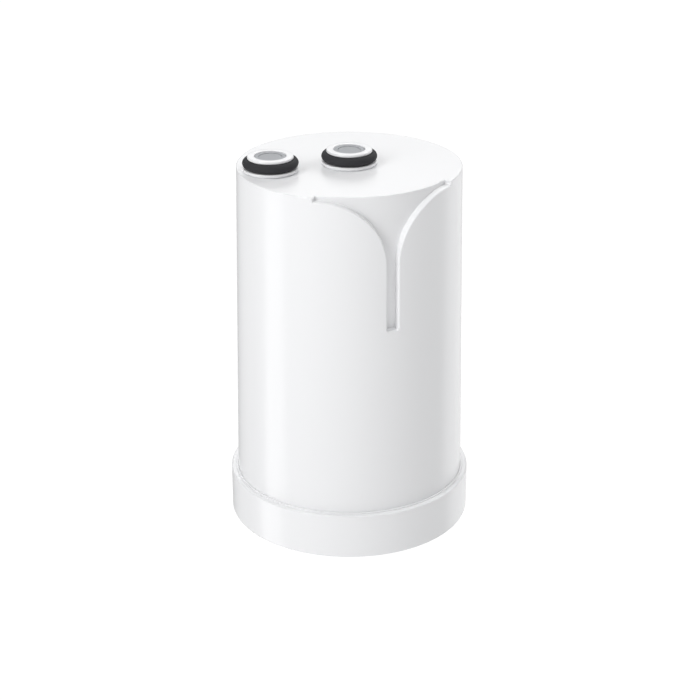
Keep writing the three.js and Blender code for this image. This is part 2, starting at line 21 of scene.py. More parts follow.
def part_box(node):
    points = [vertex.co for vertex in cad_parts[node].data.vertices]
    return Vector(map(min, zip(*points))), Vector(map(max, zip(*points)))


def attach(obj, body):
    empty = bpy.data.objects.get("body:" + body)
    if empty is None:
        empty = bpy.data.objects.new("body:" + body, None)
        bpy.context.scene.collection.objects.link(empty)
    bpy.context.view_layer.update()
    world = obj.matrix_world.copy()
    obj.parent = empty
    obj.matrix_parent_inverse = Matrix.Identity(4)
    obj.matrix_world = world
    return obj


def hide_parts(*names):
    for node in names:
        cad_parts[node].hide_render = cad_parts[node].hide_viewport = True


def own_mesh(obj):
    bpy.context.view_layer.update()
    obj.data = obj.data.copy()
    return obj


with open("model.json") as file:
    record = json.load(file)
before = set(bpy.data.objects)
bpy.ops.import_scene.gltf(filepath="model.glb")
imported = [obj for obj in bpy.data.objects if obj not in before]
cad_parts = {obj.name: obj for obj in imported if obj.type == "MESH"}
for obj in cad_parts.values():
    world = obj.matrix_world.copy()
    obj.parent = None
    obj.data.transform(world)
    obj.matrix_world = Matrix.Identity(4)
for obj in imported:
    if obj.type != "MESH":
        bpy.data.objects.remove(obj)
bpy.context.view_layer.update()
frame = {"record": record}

log = logging.getLogger("cartridge")

Array = np.ndarray
Corner = tuple[float, float, float]
Colour = tuple[float, float, float]
Span = tuple[float, float]

MM = 0.001
TURN = 2 * math.pi
MERGE_DISTANCE = 2e-7


# ---- what the frame says ----------------------------------------------------------------------
def mount_place(name: str) -> Array:
    """The place of one of the record's mounts.

    Args:
        name: the mount's name in the record.
    Returns:
        Its point as an array of three coordinates.
    """
    found = [m for m in frame["record"]["mounts"] if m["name"] == name]
    return np.array(found[0]["pos_m"], float)


def node_box(name: str) -> Array:
    """A CAD node's lowest and highest corner, as an array of shape (2, 3)."""
    return np.array([list(corner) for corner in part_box(name)])


def axis_of(name: str) -> Array:
    """The (x, y) of the upright axis through the middle of a CAD node's box."""
    return node_box(name).mean(axis=0)[:2]


def body_of(node: str) -> str:
    """The body that a CAD node rides on."""
    bodies = frame["record"]["behaviour"]["bodies"]
    return next(body for body, members in bodies.items() if node in members)


# ---- surfaces ---------------------------------------------------------------------------------
def rounded(corners: list[Corner], steps: int = 4, closed: bool = False) -> Array:
    """A polyline whose corners are arcs.

    At a corner with sides at an angle t, an arc of radius r starts r / tan(t / 2) before the corner
    and its centre lies on the bisector, r / sin(t / 2) from the corner.

    Args:
        corners: each corner's two coordinates and its arc's radius, 0 for a sharp one.
        steps: how many segments each arc has.
        closed: True where the last corner joins the first.
    Returns:
        The points, as an array of shape (n, 2).
    """
    spots = np.array([corner[:2] for corner in corners], float)
    pieces = []
    for i, (spot, corner) in enumerate(zip(spots, corners)):
        radius = corner[2]
        at_end = not closed and i in (0, len(spots) - 1)
        if radius == 0 or at_end:
            pieces.append(spot[None])
            continue
        back = spots[i - 1] - spot
        onward = spots[(i + 1) % len(spots)] - spot
        reach = 0.499 * min(np.linalg.norm(back), np.linalg.norm(onward))
        back = back / np.linalg.norm(back)
        onward = onward / np.linalg.norm(onward)
        half = 0.5 * math.acos(float(np.clip(back @ onward, -1, 1)))
        radius = min(radius, reach * math.tan(half))
        bisector = (back + onward) / np.linalg.norm(back + onward)
        centre = spot + bisector * radius / math.sin(half)
        start = spot + back * radius / math.tan(half) - centre
        finish = spot + onward * radius / math.tan(half) - centre
        first = math.atan2(start[1], start[0])
        sweep = math.atan2(finish[1], finish[0]) - first
        sweep = (sweep + math.pi) % TURN - math.pi
        angles = first + sweep * np.linspace(0, 1, steps + 1)
        pieces.append(centre + radius * np.stack([np.cos(angles), np.sin(angles)], axis=1))
    return np.vstack(pieces)


def turned(profile: Array, around: int, axis: Array | None = None) -> Array:
    """A profile turned once round an upright axis.

    The point at angle a is (x0 + r sin a, y0 - r cos a, z).

    Args:
        profile: (radius, z) points, shape (n, 2).
        around: how many columns go round.
        axis: (x0, y0), or None for the cartridge's own axis.
    Returns:
        A grid of shape (n, around, 3).
    """
    x0, y0 = (0.0, 0.0) if axis is None else axis
    angle = np.arange(around) / around * TURN
    radius = profile[:, :1]
    z = np.broadcast_to(profile[:, 1:], (len(profile), around))
    return np.stack([x0 + radius * np.sin(angle), y0 - radius * np.cos(angle), z], axis=-1)


def carried(path: Array, side: Array, radius: float, sides: int) -> Array:
    """A round section carried along many paths at once.

    Each ring lies square to the path's direction t: u is side less its part along t, and v = t x u.

    Args:
        path: points of shape (paths, steps, 3).
        side: a direction at each point that isn't along the path, of the same shape.
        radius: the section's radius.
        sides: how many points the section has.
    Returns:
        Grids of shape (paths, steps, sides, 3).
    """
    along = np.gradient(path, axis=1)
    along = along / np.linalg.norm(along, axis=-1, keepdims=True)
    u = side - (side * along).sum(axis=-1, keepdims=True) * along
    u = u / np.linalg.norm(u, axis=-1, keepdims=True)
    v = np.cross(along, u)
    angle = np.arange(sides) / sides * TURN
    ring = np.cos(angle)[:, None] * u[:, :, None, :] + np.sin(angle)[:, None] * v[:, :, None, :]
    return path[:, :, None, :] + radius * ring


def stepped(loop: Array, offset: Array, height: Array) -> Array:
    """Copies of a level loop, each moved inwards by an offset and set at a height.

    Inwards is square to the line between a point's two neighbours, towards the loop's inside, which
    the sign of its area sum(x dy - y dx) gives.

    Args:
        loop: points of shape (n, 2) or (n, 3), whose height isn't used.
        offset: how far each copy moves inwards, shape (k,).
        height: each copy's height, shape (k,).
    Returns:
        A grid of shape (k, n, 3).
    """
    plan = loop[:, :2]
    ahead = np.roll(plan, -1, axis=0) - np.roll(plan, 1, axis=0)
    turn = np.sign((plan[:, 0] * ahead[:, 1] - plan[:, 1] * ahead[:, 0]).sum())
    inwards = turn * np.stack([-ahead[:, 1], ahead[:, 0]], axis=1)
    inwards = inwards / np.linalg.norm(inwards, axis=1, keepdims=True)
    moved = plan + np.asarray(offset)[:, None, None] * inwards
    level = np.broadcast_to(np.asarray(height)[:, None, None], (*moved.shape[:2], 1))
    return np.concatenate([moved, level], axis=-1)


def quarter_round(radius: float, steps: int = 5) -> tuple[Array, Array]:
    """A quarter circle from a wall onto a flat: r (1 - cos a) across and r sin a along the wall."""
    angle = np.linspace(0, math.pi / 2, steps + 1)
    return radius * (1 - np.cos(angle)), radius * np.sin(angle)


def circle(middle: Array, radius: float, around: int) -> Array:
    """A level circle round an (x, y), as points of shape (around, 2)."""
    return turned(np.array([[radius, 0.0]]), around, middle)[0][:, :2]


def sector(radii: Span, count: int, land: float, middle: float, corner: float, points: int) -> Array:
    """The plan of an opening between two lands, such as ribs or arms, with round corners.

    A square with round corners in (u, v) becomes a sector: the radius runs with v, and the angle runs
    with u over the half turn that the lands leave free at that radius.

    Args:
        radii: the inner and the outer radius.
        count: lands in a whole turn.
        land: the width of a land.
        middle: the angle of the opening's middle from the X axis.
        corner: the radius of the round corners, in (u, v).
        points: points in the loop.
    Returns:
        The loop's points around the origin.
    """
    square = [(-1, 0, corner), (1, 0, corner), (1, 1, corner), (-1, 1, corner)]
    turns = rounded(square, steps=4, closed=True)
    ring = np.vstack([turns, turns[:1]])
    length = np.concatenate([[0], np.cumsum(np.linalg.norm(np.diff(ring, axis=0), axis=1))])
    spots = np.linspace(0, length[-1], points + 1)[:-1]
    u, v = (np.interp(spots, length, ring[:, i]) for i in (0, 1))
    radius = radii[0] + v * (radii[1] - radii[0])
    angle = middle + u * (math.pi / count - np.arcsin(land / 2 / radius))
    return np.stack([radius * np.cos(angle), radius * np.sin(angle)], axis=1)


def ripple(u: Array, v: Array, seed: int, octaves: int = 4) -> Array:
    """Smooth noise from -1 to 1 on a closed way round.

    It is a sum of waves sin(n u + m v + phase) whose whole numbers n, heights m and phases are drawn
    from a seeded generator, and whose strength falls as they get finer.

    Args:
        u: angles round, in radians.
        v: the other coordinate, in radians.
        seed: the generator's seed.
        octaves: how many sizes of wave there are.
    Returns:
        The noise, in the shape of u and v together.
    """
    draw = np.random.default_rng(seed)
    total = np.zeros(np.broadcast(u, v).shape)
    for octave in range(octaves):
        size = 2.0**octave
        for _ in range(4):
            n = int(draw.integers(2, 6)) * int(size)
            m = draw.uniform(-4, 4) * size
            total += np.sin(n * u + m * v + draw.uniform(0, TURN)) / size
    return total / np.abs(total).max()


class Surface:
    """Grids and flat fills that together make one closed mesh."""

    def __init__(self) -> None:
        """Starts with nothing."""
        self.points: list[Array] = []
        self.faces: list[list[int]] = []
        self.count = 0

    def _indices(self, points: Array) -> Array:
        """Adds points and gives their indices in the shape of the grid."""
        shape = points.shape[:-1]
        self.points.append(points.reshape(-1, 3))
        start = self.count
        self.count += int(np.prod(shape))
        return np.arange(start, self.count).reshape(shape)

    def grid(self, points: Array, around: bool = False, along: bool = False) -> None:
        """Adds a grid of points as quads.

        Args:
            points: the grid, of shape (rows, columns, 3).
            around: True where the last column joins the first.
            along: True where the last row joins the first.
        """
        index = self._indices(points)
        if along:
            index = np.vstack([index, index[:1]])
        if around:
            index = np.hstack([index, index[:, :1]])
        self._quads(index[:-1, :-1], index[:-1, 1:], index[1:, 1:], index[1:, :-1])

    def grids(self, points: Array) -> None:
        """Adds many closed tubes, of shape (tubes, steps, sides, 3), with flat ends."""
        index = self._indices(points)
        ring = np.concatenate([index, index[:, :, :1]], axis=2)
        self._quads(ring[:, :-1, :-1], ring[:, :-1, 1:], ring[:, 1:, 1:], ring[:, 1:, :-1])
        self.faces += index[:, 0, ::-1].tolist() + index[:, -1].tolist()

    def _quads(self, a: Array, b: Array, c: Array, d: Array) -> None:
        """Adds the quads whose corners are at the same place in four index arrays."""
        self.faces += np.stack([a, b, c, d], axis=-1).reshape(-1, 4).tolist()

    def cells(self, points: Array, kept: Array) -> None:
        """Adds the cells of a grid that goes all the way round where kept is True.

        Args:
            points: the grid, of shape (rows, columns, 3).
            kept: of shape (rows - 1, columns).
        """
        index = self._indices(points)
        index = np.hstack([index, index[:, :1]])
        corners = np.stack([index[:-1, :-1], index[:-1, 1:], index[1:, 1:], index[1:, :-1]], axis=-1)
        self.faces += corners[kept].tolist()

    def fill(self, loops: list[Array], margin: float = 0.08 * MM) -> None:
        """Closes the flat region inside the first loop and outside the others.

        A narrow flat band runs along each loop, so that a rounded edge beside it doesn't tilt the
        shading of the flat.

        Args:
            loops: level loops of shape (n, 3).
            margin: how wide the bands are.
        """
        ends = []
        for number, loop in enumerate(loops):
            offset = margin if number == 0 else -margin
            band = stepped(loop, np.array([0, offset]), np.full(2, loop[0, 2]))
            self.grid(band, around=True)
            ends.append(band[1])
        triangles = tessellate_polygon([loop.tolist() for loop in ends])
        index = self._indices(np.vstack(ends))
        self.faces += index[np.array(triangles)].tolist()

    def move(self, middle: Array) -> None:
        """Moves what was added so far sideways, by an (x, y)."""
        self.points = [points + np.append(middle, 0) for points in self.points]

    def mesh(self, name: str) -> bpy.types.Mesh:
        """Makes the mesh: patches are joined where they meet and its faces point outwards."""
        made = bpy.data.meshes.new(name)
        made.from_pydata(np.vstack(self.points), [], self.faces)
        work = bmesh.new()
        work.from_mesh(made)
        bmesh.ops.remove_doubles(work, verts=work.verts, dist=MERGE_DISTANCE)
        bmesh.ops.recalc_face_normals(work, faces=work.faces)
        work.to_mesh(made)
        work.free()
        made.shade_smooth()
        return made


def pierced_tube(inner: float, outer: float, angles: Array, heights: Array, kept: Array) -> Surface:
    """A tube with windows through its wall, closed at its ends and round its windows.

    Args:
        inner: the bore's radius.
        outer: the outside's radius.
        angles: where the columns stand, in turns, rising, for the whole way round.
        heights: where the rows lie, rising.
        kept: which cells are wall, of shape (rows - 1, columns).
    Returns:
        The closed surface.
    """
    def layer(radius: float) -> Array:
        """The lattice of columns and rows at one radius."""
        a = angles * TURN
        z = np.broadcast_to(heights[:, None], (len(heights), len(a)))
        x = np.broadcast_to(radius * np.sin(a), z.shape)
        y = np.broadcast_to(-radius * np.cos(a), z.shape)
        return np.stack([x, y, z], axis=-1)

    surface = Surface()
    lattices = [layer(inner), layer(outer)]
    for lattice in lattices:
        surface.cells(lattice, kept)
    deep = np.stack([np.concatenate([lattice, lattice[:, :1]], axis=1) for lattice in lattices], axis=2)
    index = surface._indices(deep)
    empty_row = np.zeros((1, kept.shape[1]), bool)
    below = np.vstack([empty_row, kept])
    above = np.vstack([kept, empty_row])
    flat_wall = below != above
    level = np.stack([index[:, :-1, 0], index[:, 1:, 0], index[:, 1:, 1], index[:, :-1, 1]], axis=-1)
    surface.faces += level[flat_wall].tolist()
    side_wall = kept != np.roll(kept, 1, axis=1)
    before, after = index[:-1, :-1], index[1:, :-1]
    upright = np.stack([before[..., 0], after[..., 0], after[..., 1], before[..., 1]], axis=-1)
    surface.faces += upright[side_wall].tolist()
    return surface


# ---- shader nodes -----------------------------------------------------------------------------
# Known fault: Finish.material() never reaches these nodes. Its docstring says why.
class Effect(Enum):
    """Shared effects, each a shader node group that is built once."""

    GRAIN = "fine_grain"
    WAVES = "moulding_waves"
    EDGE_HIGHLIGHT = "edge_lightening"
    DUST_AND_SHEEN = "settled_dust"


class Graph:
    """Adds and joins nodes in one node tree."""

    def __init__(self, tree: bpy.types.NodeTree) -> None:
        """Works in the given tree."""
        self.tree = tree

    def add(self, kind: str, **settings: object) -> bpy.types.Node:
        """Adds a node and sets its properties.

        Args:
            kind: the node's type name after "ShaderNode", or the full name of a group's node.
            settings: the node's properties.
        Returns:
            The node.
        """
        node = self.tree.nodes.new(kind if kind.startswith("Node") else "ShaderNode" + kind)
        for key, value in settings.items():
            setattr(node, key, value)
        return node

    def join(self, source: bpy.types.NodeSocket, target: bpy.types.NodeSocket) -> None:
        """Links an output to an input."""
        self.tree.links.new(source, target)

    def noise(self, scale: float, detail: float, source: bpy.types.NodeSocket) -> bpy.types.NodeSocket:
        """Adds a noise texture, with scale in features per metre, and gives its value."""
        node = self.add("TexNoise")
        node.inputs["Scale"].default_value = scale
        node.inputs["Detail"].default_value = detail
        self.join(source, node.inputs["Vector"])
        return node.outputs["Fac"]

    def ranged(self, source: bpy.types.NodeSocket, low: Span, high: Span) -> bpy.types.NodeSocket:
        """Maps a value from the range low to the range high, each (from, to), and clamps it."""
        node = self.add("MapRange")
        for name, value in zip(("From Min", "From Max", "To Min", "To Max"), (*low, *high)):
            node.inputs[name].default_value = value
        self.join(source, node.inputs["Value"])
        return node.outputs["Result"]

    def math(self, operation: str, first: bpy.types.NodeSocket, second: object) -> bpy.types.NodeSocket:
        """Adds a math node on a socket and a second socket or number, and gives its value."""
        node = self.add("Math", operation=operation)
        self.join(first, node.inputs[0])
        if isinstance(second, bpy.types.NodeSocket):
            self.join(second, node.inputs[1])
        else:
            node.inputs[1].default_value = second
        return node.outputs[0]

    def blend(self, share: bpy.types.NodeSocket, first: object, second: object) -> bpy.types.NodeSocket:
        """Mixes two colours, each a socket or a colour, by a share, and gives the colour."""
        node = self.add("Mix", data_type="RGBA")
        self.join(share, node.inputs[0])
        for slot, value in ((6, first), (7, second)):
            if isinstance(value, bpy.types.NodeSocket):
                self.join(value, node.inputs[slot])
            else:
                node.inputs[slot].default_value = (*value, 1)
        return node.outputs[2]


class Workshop:
    """Makes the shared node groups when a finish first asks for them."""

    def group(self, effect: Effect) -> bpy.types.NodeTree:
        """The node group of an effect, built at its first use."""
        found = bpy.data.node_groups.get(effect.value)
        if found:
            return found
        tree = bpy.data.node_groups.new(effect.value, "ShaderNodeTree")
        tree.interface.new_socket("Vector", in_out="INPUT", socket_type="NodeSocketVector")
        build = {
            Effect.GRAIN: self._grain,
            Effect.WAVES: self._waves,
            Effect.EDGE_HIGHLIGHT: self._painted_edge_highlight,
            Effect.DUST_AND_SHEEN: self._dust_and_sheen,
        }
        build[effect](tree)
        return tree

    def _ends(self, tree: bpy.types.NodeTree) -> tuple[Graph, bpy.types.Node, bpy.types.Node]:
        """The tree's graph with its input and output nodes."""
        graph = Graph(tree)
        return graph, graph.add("NodeGroupInput"), graph.add("NodeGroupOutput")

    def _grain(self, tree: bpy.types.NodeTree) -> None:
        """Fine grain: two sizes of noise, as a value from 0 to 1."""
        scale = tree.interface.new_socket("Scale", in_out="INPUT", socket_type="NodeSocketFloat")
        scale.default_value = 2000
        tree.interface.new_socket("Value", in_out="OUTPUT", socket_type="NodeSocketFloat")
        graph, inside, outside = self._ends(tree)
        fine = graph.add("TexNoise")
        coarse = graph.add("TexNoise")
        for node, share in ((fine, 1.0), (coarse, 0.23)):
            graph.join(inside.outputs["Vector"], node.inputs["Vector"])
            graph.join(graph.math("MULTIPLY", inside.outputs["Scale"], share), node.inputs["Scale"])
            node.inputs["Detail"].default_value = 3
        both = graph.math("ADD", fine.outputs["Fac"], coarse.outputs["Fac"])
        graph.join(graph.ranged(both, (0.7, 1.3), (0, 1)), outside.inputs["Value"])

    def _waves(self, tree: bpy.types.NodeTree) -> None:
        """The slow waviness of a moulded wall: noise drawn out along the mould's draw, from 0 to 1."""
        tree.interface.new_socket("Height", in_out="OUTPUT", socket_type="NodeSocketFloat")
        graph, inside, outside = self._ends(tree)
        drawn = graph.add("Mapping")
        drawn.inputs["Scale"].default_value = (1, 1, 0.35)
        graph.join(inside.outputs["Vector"], drawn.inputs["Vector"])
        graph.join(graph.noise(70, 1, drawn.outputs["Vector"]), outside.inputs["Height"])

    def _painted_edge_highlight(self, tree: bpy.types.NodeTree) -> None:
        """Painted highlight on convex edges: a mask of convex edges, broken up by noise."""
        tree.interface.new_socket("Mask", in_out="OUTPUT", socket_type="NodeSocketFloat")
        graph, inside, outside = self._ends(tree)
        shape = graph.add("NewGeometry")
        convex = graph.ranged(shape.outputs["Pointiness"], (0.506, 0.54), (0, 1))
        broken = graph.ranged(graph.noise(900, 3, inside.outputs["Vector"]), (0.3, 0.6), (0.4, 1))
        graph.join(graph.math("MULTIPLY", convex, broken), outside.inputs["Mask"])

    def _dust_and_sheen(self, tree: bpy.types.NodeTree) -> None:
        """Pale patches on faces that look up: settled dust and a painted sheen of light from above."""
        tree.interface.new_socket("Mask", in_out="OUTPUT", socket_type="NodeSocketFloat")
        graph, inside, outside = self._ends(tree)
        shape = graph.add("NewGeometry")
        parts = graph.add("SeparateXYZ")
        graph.join(shape.outputs["Normal"], parts.inputs["Vector"])
        upwards = graph.ranged(parts.outputs["Z"], (0.5, 1), (0, 1))
        patches = graph.ranged(graph.noise(160, 4, inside.outputs["Vector"]), (0.45, 0.75), (0, 1))
        graph.join(graph.math("MULTIPLY", upwards, patches), outside.inputs["Mask"])


WORKSHOP = Workshop()


@dataclass(frozen=True)
class Finish:
    """A finish of one of the record's material slots.

    The base colour runs from colour to shade with the grain, roughness runs between its two ends, and
    the grain and the waves lift the surface by their depths.
    """

    slot: str
    colour: Colour
    shade: Colour
    roughness: Span
    grain_scale: float = 2500.0
    grain_depth: float = 0.01 * MM
    wave_depth: float = 0.0
    metallic: float = 0.0
    coat: float = 0.0
    sheen: float = 0.0
    ior: float = 1.5
    # A lighter colour painted along convex edges as a highlight.
    edge_highlight_tone: Colour | None = None
    dust_and_sheen: float = 0.0

    def material(self) -> bpy.types.Material:
        """The material with the slot's name, or one made from this finish if there is none.

        Known fault: the frame brings a plain material with every slot's name, so that one is always
        given and this finish's colours, roughness, relief and coat are never used.
        """
        found = bpy.data.materials.get(self.slot)
        if found:
            return found
        made = bpy.data.materials.new(self.slot)
        made.use_nodes = True
        graph = Graph(made.node_tree)
        shader = made.node_tree.nodes["Principled BSDF"]
        place = graph.add("TexCoord").outputs["Object"]
        grain = self._effect(graph, Effect.GRAIN, place)
        grain.inputs["Scale"].default_value = self.grain_scale
        value = grain.outputs["Value"]
        colour = graph.blend(value, self.colour, self.shade)
        height = graph.math("MULTIPLY", self.relief(graph, place, value), self.grain_depth)
        # Paints a highlight along convex edges in the edge tone.
        if self.edge_highlight_tone:
            edges = self._effect(graph, Effect.EDGE_HIGHLIGHT, place).outputs["Mask"]
            colour = graph.blend(edges, colour, self.edge_highlight_tone)
        # Lightens faces that look up: settled dust and a painted sheen.
        if self.dust_and_sheen:
            dust_and_sheen_mask = self._effect(graph, Effect.DUST_AND_SHEEN, place).outputs["Mask"]
            dust_and_sheen_mask = graph.math("MULTIPLY", dust_and_sheen_mask, self.dust_and_sheen)
            colour = graph.blend(dust_and_sheen_mask, colour, (0.8, 0.78, 0.74))
        if self.wave_depth:
            waves = self._effect(graph, Effect.WAVES, place).outputs["Height"]
            height = graph.math("ADD", height, graph.math("MULTIPLY", waves, self.wave_depth))
        colour = self.pattern(graph, place, colour)
        graph.join(colour, shader.inputs["Base Color"])
        graph.join(graph.ranged(value, (0, 1), self.roughness), shader.inputs["Roughness"])
        bump = graph.add("Bump")
        bump.inputs["Distance"].default_value = 1.0
        graph.join(height, bump.inputs["Height"])
        graph.join(bump.outputs["Normal"], shader.inputs["Normal"])
        shader.inputs["Metallic"].default_value = self.metallic
        shader.inputs["Coat Weight"].default_value = self.coat
        shader.inputs["Coat Roughness"].default_value = 0.03
        shader.inputs["Sheen Weight"].default_value = self.sheen
        shader.inputs["IOR"].default_value = self.ior
        return made

    def _effect(self, graph: Graph, effect: Effect, place: bpy.types.NodeSocket) -> bpy.types.Node:
        """Places a shared effect in the material, on the given coordinates."""
        node = graph.add("Group")
        node.node_tree = WORKSHOP.group(effect)
        graph.join(place, node.inputs["Vector"])
        return node

    def relief(
        self, graph: Graph, place: bpy.types.NodeSocket, grain: bpy.types.NodeSocket
    ) -> bpy.types.NodeSocket:
        """The height pattern that grain_depth scales: the grain itself."""
        return grain

    def pattern(
        self, graph: Graph, place: bpy.types.NodeSocket, colour: bpy.types.NodeSocket
    ) -> bpy.types.NodeSocket:
        """What the finish adds to its colour: nothing on a plain one."""
        return colour


@dataclass(frozen=True)
class DrawnWire(Finish):
    """Spring wire with fine die marks along it."""

    def relief(
        self, graph: Graph, place: bpy.types.NodeSocket, grain: bpy.types.NodeSocket
    ) -> bpy.types.NodeSocket:
        """Die marks: noise that is drawn out round the coil and narrow in height."""
        drawn = graph.add("Mapping")
        drawn.inputs["Scale"].default_value = (0.1, 0.1, 3)
        graph.join(place, drawn.inputs["Vector"])
        return graph.noise(6000, 2, drawn.outputs["Vector"])


@dataclass(frozen=True)
class Fleece(Finish):
    """Non-woven fleece: matted strands with darker gaps."""

    strands: float = 900.0
    gap: Colour = (0.55, 0.54, 0.5)

    def _matting(self, graph: Graph, place: bpy.types.NodeSocket) -> bpy.types.NodeSocket:
        """Strands: the edges of warped cells, from 0 in a gap to 1 on a strand."""
        bent = graph.add("VectorMath", operation="ADD")
        warp = graph.add("TexNoise")
        warp.inputs["Scale"].default_value = self.strands * 0.5
        graph.join(place, warp.inputs["Vector"])
        small = graph.add("VectorMath", operation="SCALE")
        small.inputs["Scale"].default_value = 0.6 * MM
        graph.join(warp.outputs["Color"], small.inputs[0])
        graph.join(place, bent.inputs[0])
        graph.join(small.outputs[0], bent.inputs[1])
        cells = graph.add("TexVoronoi", feature="DISTANCE_TO_EDGE")
        cells.inputs["Scale"].default_value = self.strands
        graph.join(bent.outputs[0], cells.inputs["Vector"])
        return graph.ranged(cells.outputs["Distance"], (0.02, 0.25), (1, 0))

    def relief(
        self, graph: Graph, place: bpy.types.NodeSocket, grain: bpy.types.NodeSocket
    ) -> bpy.types.NodeSocket:
        """Strands stand out from the gaps."""
        return self._matting(graph, place)

    def pattern(
        self, graph: Graph, place: bpy.types.NodeSocket, colour: bpy.types.NodeSocket
    ) -> bpy.types.NodeSocket:
        """Gaps between strands are darker."""
        return graph.blend(self._matting(graph, place), self.gap, colour)


@dataclass(frozen=True)
class SinteredCarbon(Finish):
    """Pressed carbon grains with a few that glint."""

    grains: float = 1600.0
    glint: Colour = (0.09, 0.09, 0.095)

    def relief(
        self, graph: Graph, place: bpy.types.NodeSocket, grain: bpy.types.NodeSocket
    ) -> bpy.types.NodeSocket:
        """Round grains side by side."""
        cells = graph.add("TexVoronoi")
        cells.inputs["Scale"].default_value = self.grains
        graph.join(place, cells.inputs["Vector"])
        return graph.ranged(cells.outputs["Distance"], (0.1, 0.8), (1, 0))

    def pattern(
        self, graph: Graph, place: bpy.types.NodeSocket, colour: bpy.types.NodeSocket
    ) -> bpy.types.NodeSocket:
        """One grain in several is lighter."""
        cells = graph.add("TexVoronoi")
        cells.inputs["Scale"].default_value = self.grains
        graph.join(place, cells.inputs["Vector"])
        parts = graph.add("SeparateColor")
        graph.join(cells.outputs["Color"], parts.inputs[0])
        return graph.blend(graph.ranged(parts.outputs[0], (0.75, 0.9), (0, 1)), colour, self.glint)


@dataclass(frozen=True)
class CastResin(Finish):
    """Potting resin with the pale cut ends of fibres in it."""

    spacing: float = 1.1 * MM
    fibre_end: Colour = (0.86, 0.85, 0.8)

    def pattern(
        self, graph: Graph, place: bpy.types.NodeSocket, colour: bpy.types.NodeSocket
    ) -> bpy.types.NodeSocket:
        """Round ends in cells that are as wide as the fibres' spacing, the same at every height."""
        flattened = graph.add("Mapping")
        flattened.inputs["Scale"].default_value = (1, 1, 0)
        graph.join(place, flattened.inputs["Vector"])
        cells = graph.add("TexVoronoi")
        cells.inputs["Scale"].default_value = 1 / self.spacing
        cells.inputs["Randomness"].default_value = 0.5
        graph.join(flattened.outputs["Vector"], cells.inputs["Vector"])
        ends = graph.ranged(cells.outputs["Distance"], (0.26, 0.32), (1, 0))
        return graph.blend(ends, colour, self.fibre_end)


SHELL_WHITE = Finish(
    slot="shell_white",
    colour=(0.805, 0.822, 0.847),
    shade=(0.78, 0.797, 0.822),
    roughness=(0.1, 0.14),
    grain_scale=1800,
    grain_depth=0.0008 * MM,
    wave_depth=0.015 * MM,
    coat=1.0,
    # painted highlight along convex edges
    edge_highlight_tone=(0.97, 0.975, 0.985),
)
SEAL_RUBBER = Finish(
    slot="seal_rubber",
    colour=(0.034, 0.035, 0.04),
    shade=(0.05, 0.051, 0.057),
    roughness=(0.3, 0.4),
    grain_scale=3500,
    grain_depth=0.004 * MM,
    coat=0.8,
    # painted highlight along convex edges
    edge_highlight_tone=(0.07, 0.071, 0.077),
    # pale patches on upper faces: dust and a painted sheen
    dust_and_sheen=0.03,
)
VALVE_GREY = Finish(
    slot="valve_grey",
    colour=(0.36, 0.366, 0.382),
    shade=(0.325, 0.331, 0.347),
    roughness=(0.4, 0.52),
    grain_scale=3000,
    grain_depth=0.004 * MM,
    # painted highlight along convex edges
    edge_highlight_tone=(0.46, 0.465, 0.48),
)
SPRING_STEEL = DrawnWire(
    slot="spring_steel",
    colour=(0.6, 0.605, 0.62),
    shade=(0.48, 0.485, 0.5),
    roughness=(0.22, 0.36),
    grain_depth=0.004 * MM,
    metallic=1.0,
)
ELEMENT_PLASTIC = Finish(
    slot="element_plastic",
    colour=(0.8, 0.8, 0.78),
    shade=(0.75, 0.75, 0.73),
    roughness=(0.4, 0.52),
    grain_depth=0.01 * MM,
    wave_depth=0.05 * MM,
)
NETTING_PLASTIC = Finish(
    slot="netting_plastic",
    colour=(0.72, 0.77, 0.81),
    shade=(0.64, 0.7, 0.75),
    roughness=(0.45, 0.6),
    grain_depth=0.01 * MM,
)
FLEECE = Fleece(
    slot="fleece",
    colour=(0.86, 0.85, 0.81),
    shade=(0.8, 0.79, 0.75),
    roughness=(0.88, 0.98),
    grain_depth=0.15 * MM,
    sheen=0.3,
)
CARBON = SinteredCarbon(
    slot="carbon",
    colour=(0.018, 0.018, 0.02),
    shade=(0.03, 0.03, 0.032),
    roughness=(0.7, 0.95),
    grain_depth=0.15 * MM,
)
FIBRE = Finish(
    slot="fibre",
    colour=(0.88, 0.87, 0.83),
    shade=(0.8, 0.79, 0.74),
    roughness=(0.5, 0.7),
    grain_scale=6000,
    grain_depth=0.01 * MM,
    sheen=0.2,
)
RESIN = CastResin(
    slot="resin",
    colour=(0.66, 0.55, 0.34),
    shade=(0.6, 0.49, 0.29),
    roughness=(0.15, 0.28),
    grain_depth=0.005 * MM,
)


def place_piece(surface: Surface, node: str, finish: Finish) -> bpy.types.Object:
    """Makes an object of a surface, dresses it and lets it stand for a CAD node.

    Args:
        surface: the closed surface.
        node: the CAD node that it replaces, whose body it rides on.
        finish: its finish.
    Returns:
        The object.
    """
    name = node + "_surface"
    piece = bpy.data.objects.new(name, surface.mesh(name))
    bpy.context.scene.collection.objects.link(piece)
    piece.data.materials.append(finish.material())
    shading = piece.modifiers.new("shading", "WEIGHTED_NORMAL")
    shading.mode = "FACE_AREA"
    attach(piece, body_of(node))
    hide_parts(node)
    log.info("%s: %d faces, rides on %s", name, len(piece.data.polygons), body_of(node))
    return piece


# ---- outer shell ------------------------------------------------------------------------------
@dataclass(frozen=True)
class ShellSizes:
    """The drafted shell's main sizes, most of them read from the frame."""

    deck: float
    bottom: float
    bottom_radius: float
    draft: float = math.radians(1)
    wall: float = 2.4 * MM
    deck_thickness: float = 3 * MM

    @classmethod
    def from_frame(cls) -> "ShellSizes":
        """Reads the deck's height and the shell's foot from the frame."""
        low, high = node_box("outer_shell")
        return cls(deck=mount_place("deck")[2], bottom=low[2], bottom_radius=high[0])

    def radius(self, z: Array | float) -> Array | float:
        """The outer radius at a height: the draft takes tan(draft) off for each unit of height."""
        return self.bottom_radius - (z - self.bottom) * math.tan(self.draft)


